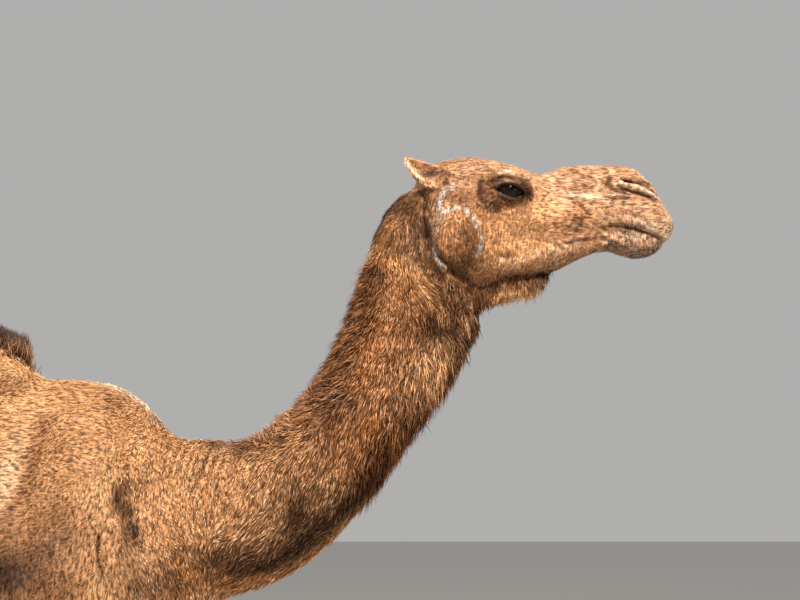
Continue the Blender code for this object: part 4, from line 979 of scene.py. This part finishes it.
def grow(name, chosen, count, seed, material, rings=1, long=1.0, broad=1.0, lean=0, lock=0.5, lock_size=0.016,
         droop=0.0, curl=0.0, arch=0.45, density=1.0, way_field=None, contrast=0.62, stray=0.10, scale=1.0,
         stand=0.0, grain_share=0.24, dye=0, ragged=0.0):
    """Grows count tufts on the chosen triangles.

    long, broad and lean change the combing table's length, breadth and lift; lock and lock_size say how far tips
    draw together; droop, curl, arch and stand bend each tuft; stray and ragged make the lie and length uneven;
    contrast, grain_share and dye change its colour; density, way_field and scale are fields of the skin."""
    picks, w, draw = strew(chosen, density * (1 - bare), count, seed)
    n = unit(mix(normal, picks, w))
    root = mix(co, picks, w)
    way = mix(lie if way_field is None else way_field, picks, w)
    way = way + draw.normal(0, stray, (count, 3)) + 0.22 * three_waves(root, HANDFUL, seed + 50, 5)
    way = unit(flatten(way, n))
    length = mix(hair_length * scale, picks, w) * long * draw.uniform(0.65, 1.25, count)
    lift = mix(hair_lift, picks, w) + math.radians(lean) + draw.normal(0, math.radians(5), count)
    lift = lift + RAISED * (draw.random(count) < RAISED_SHARE) * np.clip(length / (18 * MM), 0, 1)
    lift = np.clip(lift, LIFT_LEAST, LIFT_MOST)
    breadth = mix(hair_breadth, picks, w) * broad * draw.uniform(0.7, 1.2, count)
    pull, shared = clump(root, lock_size, seed)
    length = length * (1 + ragged * (shared - 0.5))
    pull = flatten(pull, n)
    pull *= (lock * np.minimum(1, 0.6 * length / np.maximum(np.linalg.norm(pull, axis=1), 1e-6)))[:, None]
    across, phase = np.cross(n, way), draw.uniform(0, 6.28, count)
    stations, line = np.linspace(0, 1, rings + 1), []
    for s in stations:
        ahead, up = length * s * np.cos(lift * (1 - 0.4 * s)), length * s * np.sin(lift) * (1 - arch * s)
        reach = way * ahead[:, None] + n * up[:, None]
        reach += (UPWARD * (length * s)[:, None] - reach) * stand
        at = root + reach - n * (SUNK * (s == 0)) + pull * s**1.5
        at[:, 2] -= droop * length * s * s
        line.append(at + across * (curl * length * s * np.sin(phase + 5.0 * s))[:, None])
    line = np.stack(line, 1)
    along = unit(line[:, 1] - line[:, 0])
    side_way = unit(np.cross(n, along))
    tone = tones(draw, shared, count, contrast)[:, None]
    pen = Painter(root)
    pen.colour = mix(art.colour, picks, w)
    for thin_line in THIN if rings < 3 else []:
        pen.stroke(*thin_line)
    pen.wash(np.ones(count), BRUSH, dye)
    grain = waves(root, 0.0075, 71, 14)
    # the palest tufts, picked at random, are also mixed toward a pale colour as a painted highlight on lit hair,
    # less on dark hair
    highlight_weight = np.clip(pen.colour.sum(1, keepdims=True) / 0.8, 0.15, 1.0)
    colour = pen.colour * (np.minimum(tone, HIGHLIGHT_FROM) * np.exp(grain_share * grain)[:, None])
    colour += 0.22 * np.maximum(tone - HIGHLIGHT_FROM, 0) * PALE_HIGHLIGHT * highlight_weight
    dust, speck = mix(frost, picks, w), grain + 1.2 * (draw.random(count) - 0.5)
    colour += (ASH - colour) * (0.85 * dust * (speck > 0.12))[:, None]
    colour += (UMBER - colour) * (0.80 * dust * (speck < -0.55))[:, None]
    shade = np.interp(stations, [0, 0.5, 1], ROOT_SHADE_TO_TIP_LIGHT)
    uv = (region_uv[tri_loops[picks]] * w[..., None]).sum(1)
    build_tufts(name, line, side_way, np.cross(along, side_way), breadth, colour, shade, uv, material)

# %% [markdown]
# ## Hair and hide finishes
# Hair is rough along its length and a little glossy across it, and every lock differs a shade from the next. One
# node group makes that uneven colour and a fine bump, and each finish uses it with its own size and strength.
# Hide adds a net of cracks, and horn has growth bands.

# %% Small tools for finishes
def feed(tree, node, inputs):
    """Gives each input of a node a value, or the output of another node."""
    for socket, value in inputs.items():
        if isinstance(value, bpy.types.NodeSocket):
            tree.links.new(value, node.inputs[socket])
        else:
            node.inputs[socket].default_value = value

def add_node(tree, kind, inputs, **settings):
    node = tree.nodes.new("ShaderNode" + kind)
    for key, value in settings.items():
        setattr(node, key, value)
    feed(tree, node, inputs)
    return node

def place_on(tree):
    """The point's own place on the object."""
    return add_node(tree, "TexCoord", {}).outputs["Object"]

def new_finish(name, **inputs):
    """A new material, its nodes and its shader, whose inputs are named with _ for spaces."""
    material = bpy.data.materials.new(name)
    material.use_nodes = True
    tree = material.node_tree
    shader = tree.nodes["Principled BSDF"]
    feed(tree, shader, {socket.replace("_", " "): value for socket, value in inputs.items()})
    return material, tree, shader

# %% A node group for uneven hair
def uneven_hair():
    group = bpy.data.node_groups.new("uneven_hair", "ShaderNodeTree")
    face = group.interface
    face.new_socket("Colour", in_out="INPUT", socket_type="NodeSocketColor")
    for label, value in (("Size", 200.0), ("Amount", 0.3), ("Upright", 0.5)):
        face.new_socket(label, in_out="INPUT", socket_type="NodeSocketFloat").default_value = value
    face.new_socket("Colour", in_out="OUTPUT", socket_type="NodeSocketColor")
    face.new_socket("Height", in_out="OUTPUT", socket_type="NodeSocketFloat")
    given, result = group.nodes.new("NodeGroupInput").outputs, group.nodes.new("NodeGroupOutput")
    place, noises = place_on(group), []
    for stretch in ((0.30, 1.0, 1.0), (1.0, 1.0, 0.30)):
        drawn = add_node(group, "Mapping", {"Scale": stretch, "Vector": place})
        noise = {"Detail": 3.0, "Scale": given["Size"], "Vector": drawn.outputs["Vector"]}
        noises.append(add_node(group, "TexNoise", noise).outputs["Fac"])
    blend = add_node(group, "Mix", {0: given["Upright"], 2: noises[0], 3: noises[1]}, data_type="FLOAT").outputs[0]
    spread = add_node(group, "MapRange", {"Value": blend, "From Min": 0.36, "From Max": 0.64, "To Min": -1.0})
    amount = add_node(group, "Math", {0: spread.outputs["Result"], 1: given["Amount"], 2: 1.0},
                      operation="MULTIPLY_ADD")
    bright = add_node(group, "VectorMath", {0: given["Colour"], "Scale": amount.outputs["Value"]},
                      operation="SCALE")
    feed(group, result, {"Colour": bright.outputs["Vector"], "Height": blend})
    return group

UNEVEN = uneven_hair()

# %% One finish for each kind of hair
def hair_finish(name, size, amount, roughness, bump, depth, **more):
    inputs = dict(Roughness=roughness, Specular_IOR_Level=0.09)
    material, tree, shader = new_finish(name, **{**inputs, **more})
    colour = add_node(tree, "Attribute", {}, attribute_name="coat_colour").outputs["Color"]
    uneven = add_node(tree, "Group", {}, node_tree=UNEVEN, name="uneven")
    feed(tree, uneven, {"Size": size, "Amount": amount, "Colour": colour})
    raised = add_node(tree, "Bump", {"Strength": bump, "Distance": depth, "Height": uneven.outputs["Height"]})
    feed(tree, shader, {"Base Color": uneven.outputs["Colour"], "Normal": raised.outputs["Normal"]})
    return material

skin_finish = hair_finish("short_hair_on_skin", 250.0, 0.75, 0.70, 0.60, 0.0020)
short_finish = hair_finish("short_coat", 220.0, 0.30, 0.58, 0.15, 0.0004)
long_finish = hair_finish("long_coat", 160.0, 0.30, 0.52, 0.15, 0.0004)
brush_finish = hair_finish("dark_brush", 180.0, 0.20, 0.60, 0.15, 0.0004)

# %% Cracked hide and hair flow on the skin
flow = np.abs(lie[:, 2]) / np.maximum(np.hypot(lie[:, 0], lie[:, 2]), 1e-6)
pads = np.clip(hide_part + 0.6 * blob(side, -700, 600, 50, 30), 0, 1)
tree = skin_finish.node_tree
masks = {}
for name, values in (("upright", ramp(0.35, 0.85, flow)), ("hide_mask", pads)):
    skin.data.attributes.new(name, "FLOAT", "POINT").data.foreach_set("value", values.astype(np.float32))
    masks[name] = add_node(tree, "Attribute", {}, attribute_name=name).outputs["Fac"]
feed(tree, tree.nodes["uneven"], {"Upright": masks["upright"]})
cells = add_node(tree, "TexVoronoi", {"Scale": 95.0, "Vector": place_on(tree)}, feature="DISTANCE_TO_EDGE")
crack = add_node(tree, "MapRange", {"From Max": 0.12, "Value": cells.outputs["Distance"]})
shown = add_node(tree, "Math", {0: crack.outputs["Result"], 1: masks["hide_mask"]}, operation="MULTIPLY")
shader = tree.nodes["Principled BSDF"]
hair_bump = shader.inputs["Normal"].links[0].from_socket
creased = add_node(tree, "Bump", {"Strength": 0.8, "Distance": 0.003, "Height": shown.outputs["Value"],
                                  "Normal": hair_bump})
feed(tree, shader, {"Normal": creased.outputs["Normal"]})
# the skin between the tufts lies in their shade
covered = 0.50 + 0.50 * np.maximum(bare, 0.60 * zone["head"])
store_colour(skin.data, art.colour * covered[:, None])
skin.data.materials.clear()
skin.data.materials.append(skin_finish)

# %% [markdown]
# ## Nails
# A camel walks on soft pads, and each toe carries one small horny nail. The carved nails have the right shape, so
# they stay and only take a finish: dark horn with growth bands across it, smoother and glossier than the hide.

# %% Horn for the nails
horn, tree, shader = new_finish("dark_horn", Roughness=0.42)
bands = add_node(tree, "TexWave", {"Scale": 60.0, "Distortion": 3.0, "Detail": 3.0, "Vector": place_on(tree)},
                 bands_direction="Z").outputs["Fac"]
tint = add_node(tree, "ValToRGB", {"Fac": bands})
for element, shade in zip(tint.color_ramp.elements, (paint(48, 38, 32), paint(104, 88, 74))):
    element.color = (*shade, 1)
raised = add_node(tree, "Bump", {"Strength": 0.4, "Distance": 0.001, "Height": bands})
feed(tree, shader, {"Base Color": tint.outputs["Color"], "Normal": raised.outputs["Normal"]})
nails = [n for n in BARE_NODES if "nail" in n]
for nail in nails:
    for material_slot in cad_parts[nail].material_slots:
        material_slot.material = horn
print(len(nails), "nails finished")

# %% Regions of the coat
tri_plan = plan_of(tri_middle)
tri_zone = zones(tri_plan)
tri_ear = tri[:, 0] >= skin_points
tt, tx = tri_zone["t"], tri_plan[:, 0]
legs, tail_part = (tri_zone["leg"] > 0.5) & ~tri_ear, tri_zone["tail"] > 0.5
body = ~legs & ~tail_part & ~tri_ear
head = body & (tri_zone["head"] > 0.7)
rest = body & ~head
REGIONS = {"muzzle": head & (tt < 0.30), "cheeks": (head & (tt >= 0.30)) | tri_ear}
for part, inside in {"neck_upper": tt < 1.00, "neck_lower": (tt >= 1.00) & (tt < 1.36),
                     "shoulder": (tt >= 1.36) & (tx > -0.90), "flank": tx <= -0.90}.items():
    for hand, on_side in {"_right": tri_middle[:, 1] < 0, "_left": tri_middle[:, 1] >= 0}.items():
        REGIONS[part + hand] = rest & inside & on_side
REGIONS.update(forelegs=legs & (tx > -1.2), hindlegs=legs & (tx <= -1.2), tail=tail_part)
lie[is_ear] = (-0.90, 0.0, 0.40)
hair_length[is_ear], hair_lift[is_ear], hair_breadth[is_ear] = 9 * MM, math.radians(14), 1.1 * MM

skin.data.uv_layers.new(name="roots")
def unwrap(chosen):
    """Lays the region's own skin out flat over the whole square, and reads where each corner went."""
    picked = np.zeros(len(skin.data.polygons), bool)
    picked[tri_face[chosen]] = True
    edit_faces(picked, (bpy.ops.uv.smart_project, dict(angle_limit=math.radians(66), island_margin=0.004)))
    return read(skin.data.uv_layers["roots"].uv, "vector", 2)

# %% The coat itself
outward_up, backward_up, hanging = (np.tile(way, (len(co), 1)) for way in
                                    ([0.35, 0.0, 1.0], [-0.9, 0.0, 1.0], [-0.30, 0.0, -1.0]))
beard_scale = 0.34 + 0.66 * bell(sx, 0.278, np.where(sx > 0.278, 0.018, 0.042))
beard_front = zone["beard"] * ramp(0.320, 0.288, sx)
throat_part = zone["throat"] * ramp(0.0, 1.0, 1 - blob(side, *THROAT_TUFT))
spikes = ramp(0.80, 0.95, top) * ramp(-0.290, -0.262, sx) * ramp(-0.140, -0.170, sx)
LEG_HAIR = (12500, short_finish, dict(broad=1.36, lock=0.4))
BEARD = dict(rings=3, long=2.8, broad=1.35, lean=8, lock=0.85, lock_size=0.012, droop=0.30, arch=0.3,
             way_field=hanging, scale=beard_scale, stray=0.16, ragged=0.5)
BRUSH_HAIR = dict(rings=2, long=1.55, broad=1.1, lean=38, lock=0.6, lock_size=0.010, curl=0.25, arch=0.15,
                  way_field=outward_up, density=cap * ramp(0.14, 0.09, sy), stray=0.5, contrast=0.40, stand=0.65,
                  scale=1 + 0.75 * ramp(-0.795, -0.750, sx), dye=50)
# count, finish, settings
TUFTS = {
    "muzzle": (33000, short_finish, dict(broad=1.20, lock=0.45, lock_size=0.0050, contrast=0.60, grain_share=0.30)),
    "cheeks": (43000, short_finish, dict(broad=1.15, lock=0.50, lock_size=0.0070, contrast=0.60, grain_share=0.28)),
    "neck_upper": (10800, long_finish, dict(rings=2, broad=1.20, lock=0.65, lock_size=0.015, contrast=0.85)),
    "neck_lower": (9000, long_finish, dict(rings=2, broad=1.26, lock=0.60, lock_size=0.012, contrast=1.00)),
    "shoulder": (29000, long_finish, dict(broad=1.42, lock=0.55, lock_size=0.012, contrast=1.10)),
    "flank": (19500, long_finish, dict(broad=1.52, lock=0.50, lock_size=0.018, contrast=0.90)),
    "forelegs": LEG_HAIR, "hindlegs": LEG_HAIR,
    "tail": (2000, long_finish, dict(rings=2, broad=1.2, lock=0.5)),
}
# start of the region's name, start of the piece's name, seed's step, count, finish, settings
LOCKS = [
    ("neck_upper_", "locks_throat_", 1, 2000, long_finish,
     dict(rings=3, long=1.25, broad=1.4, lean=14, lock=0.8, lock_size=0.020, droop=0.15, arch=0.3, ragged=0.4,
          density=throat_part)),
    ("neck_upper_", "mane_", 2, 2200, long_finish,
     dict(rings=2, long=1.10, broad=1.1, lean=32, lock=0.75, lock_size=0.014, arch=0.25, density=zone["mane"],
          ragged=0.7)),
    ("neck_", "mane_low_", 5, 130, long_finish,
     dict(rings=2, broad=1.2, lean=42, lock=0.9, lock_size=0.018, arch=0.1, way_field=backward_up, stand=0.35,
          density=spikes)),
    ("muzzle", "locks_beard_front", 1, 700, long_finish, dict(density=beard_front, **BEARD)),
    ("cheeks", "locks_beard", 1, 2600, long_finish, dict(density=zone["beard"], **BEARD)),
    ("flank_", "brush_flank_", 3, 3200, brush_finish, BRUSH_HAIR),
    ("shoulder_", "brush_shoulder_", 3, 2200, brush_finish, BRUSH_HAIR),
    ("tail", "locks_tail", 1, 900, long_finish,
     dict(rings=3, long=2.6, broad=1.4, lean=-6, lock=0.6, lock_size=0.02, density=ramp(1.30, 1.10, sz))),
]
SHARE = 1.0
seed = 100
for region, chosen in REGIONS.items():
    seed += 10
    region_uv = unwrap(chosen)
    if region == "cheeks":
        cheek_ids, cheek_uv = np.flatnonzero(chosen), region_uv
    count, finish, settings = TUFTS[region.replace("_right", "").replace("_left", "")]
    grow("coat_" + region, chosen, int(count * SHARE), seed, finish, **settings)
    for start, title, step, count, finish, settings in LOCKS:
        if region.startswith(start):
            grow(title + region[len(start):], chosen, int(count * SHARE), seed + step, finish, **settings)
skin.data.uv_layers.remove(skin.data.uv_layers["roots"])
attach(skin, "root")
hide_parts(*FLESH_NODES, *EAR_NODES)

# %% [markdown]
# ## Eyes
# A camel's eye is a dark brown ball with a wide horizontal pupil under a clear, slightly raised cornea. The ball
# is lathed fine, the cornea swells from it, and the colours are laid by distance from the line of sight.

# %% Eyeballs
eye_finish = hair_finish("wet_eye", 900.0, 0.25, 0.10, 0.02, 0.0001, Specular_IOR_Level=0.08, Coat_Weight=0.10,
                         Coat_Roughness=0.02)

def make_eye(hand, node_name):
    pick()
    bpy.ops.mesh.primitive_uv_sphere_add(segments=64, ring_count=40, radius=EYE_R - 0.0002)
    eye = bpy.context.object
    eye.name = "eyeball_" + node_name.split("_")[1]
    gaze = np.array([0.16, hand * 0.985, 0.06])
    gaze /= np.linalg.norm(gaze)
    ball = points_of(eye.data)
    away = np.degrees(np.arccos(np.clip(unit(ball) @ gaze, -1, 1)))
    ball += unit(ball) * (0.0010 * np.exp(-(away / 26) ** 4))[:, None]
    across = unit(np.cross([[0, 0, 1.0]], gaze[None]))[0]
    flat_x, flat_z = ball @ across / 0.0085, ball @ np.cross(gaze, across) / 0.0050
    pupil = ramp(1.15, 0.90, np.hypot(flat_x, flat_z)) * (ball @ gaze > 0)
    colour = np.tile(paint(26, 17, 13), (len(ball), 1))
    for mask, shade in ((ramp(40, 34, away), paint(20, 11, 7)), (bell(away, 37, 3.5) * 0.9, paint(8, 6, 6)),
                        (pupil, paint(4, 4, 6))):
        colour += (shade - colour) * mask[:, None]
    put_points(eye.data, ball + np.array([EYE_X + SHIFT_X, hand * EYE_Y, EYE_Z]))
    store_colour(eye.data, colour)
    bpy.ops.object.shade_smooth()
    eye.data.materials.append(eye_finish)
    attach(eye, "root")
    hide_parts(node_name)

make_eye(1, "eye_left")
make_eye(-1, "eye_right")
print("eyes set")

# %% [markdown]
# ## Lashes
# Camels have long double lashes against blown sand. Each lash is a thorn of its own that springs from the edge of
# the upper lid, points outwards, and sweeps down over the ball. A sparse short row stands under the lower lid.

# %% Rows of lashes
def make_lashes(hand, name, count, seed):
    draw = np.random.default_rng(seed)
    edges = [flowing(arc(8.8, -2.8, 0.98)), flowing(arc(-16.5, 0.0, 0.85))]
    lower = np.arange(count) >= int(count * 0.78)
    u = np.where(lower, draw.random(count), (np.arange(count) + draw.random(count)) / (0.78 * count)).clip(0, 1)
    upper_xz, lower_xz = (np.column_stack([np.interp(u * (len(edge) - 1), np.arange(len(edge)), c) for c in edge.T])
                          for edge in edges)
    xz = np.where(lower[:, None], lower_xz, upper_xz) + draw.normal(0, 0.0008, (count, 2))
    y = EYE_Y + ball_side(*xz.T, EYE_R + 2.2 * MM)[0]
    root = np.column_stack([xz[:, 0] + SHIFT_X, hand * y, xz[:, 1]])
    out_way = unit(root - np.array([EYE_X + SHIFT_X, hand * EYE_Y, EYE_Z]))
    down = np.where(lower[:, None], [0.0, 0.0, -0.35], [0.10, 0.0, -0.75]) + draw.normal(0, 0.12, (count, 3))
    length = (np.where(lower, 5.0, 13.0) * MM * draw.uniform(0.7, 1.2, count))[:, None]
    line = np.stack([root + (out_way * (s - 0.25 * s * s) + down * s**1.6) * length for s in (0.0, 0.5, 1.0)], 1)
    along = unit(line[:, 1] - line[:, 0])
    side_way = unit(np.cross(UPWARD, along))
    near = [int(np.argmin(((tri_middle[cheek_ids] - r) ** 2).sum(1))) for r in root]
    colour = UMBER * draw.uniform(0.5, 1.4, count)[:, None]
    build_tufts(name, line, side_way, np.cross(along, side_way), np.full(count, 0.8 * MM), colour, [1, 1, 1.2],
                cheek_uv[tri_loops[cheek_ids[near], 0]], short_finish)

make_lashes(1, "lashes_left", 150, 61)
make_lashes(-1, "lashes_right", 150, 62)

# %% [markdown]
# ## Floor, light and camera
# A pale floor and broad soft lamps show the coat without hard shadows. The camera stands two metres to the right
# of the animal's middle plane, a little above the height of its chest, and looks slightly up.

# %% Floor and light
bpy.ops.mesh.primitive_plane_add(size=60, location=(0, 0, 0))
floor = bpy.context.object
floor.name = "floor"
floor.data.materials.append(new_finish("pale_floor", Base_Color=(0.62, 0.60, 0.57, 1), Roughness=0.9)[0])

world = bpy.data.worlds.new("studio")
bpy.context.scene.world = world
world.use_nodes = True
feed(world.node_tree, world.node_tree.nodes["Background"], {"Color": (0.96, 0.95, 0.94, 1), "Strength": 0.45})

def lamp(name, place, aim, size, power, colour):
    light = bpy.data.lights.new(name, "AREA")
    light.size, light.energy, light.color = size, power, colour
    obj = new_object(name, light)
    obj.location = place
    obj.rotation_euler = (Vector(aim) - Vector(place)).to_track_quat("-Z", "Y").to_euler()

HEAD_AT = (SHIFT_X + 0.1, 0, 1.9)
lamp("key", (SHIFT_X - 1.0, -3.4, 5.4), HEAD_AT, 1.3, 610, (1.0, 0.95, 0.88))
lamp("fill", (SHIFT_X + 3.2, -3.2, 2.2), HEAD_AT, 2.6, 50, (1.0, 0.98, 0.96))
lamp("far_side", (SHIFT_X - 1.5, 4.5, 4.0), (SHIFT_X - 0.7, 0, 1.4), 3.0, 170, (1.0, 0.97, 0.93))

# %% Camera
LENS, SENSOR, AWAY, EYE_LEVEL, LOOK_UP = 45.0, 36.0, 2.0, 1.58, 10.758
camera_data = bpy.data.cameras.new("camera")
camera_data.lens, camera_data.sensor_width = LENS, SENSOR
camera = new_object("camera", camera_data)
camera.location = (SHIFT_X, -AWAY, EYE_LEVEL)
camera.rotation_euler = (math.radians(90 + LOOK_UP), 0, 0)
bpy.context.scene.camera = camera
bpy.context.scene.view_settings.view_transform = "Standard"
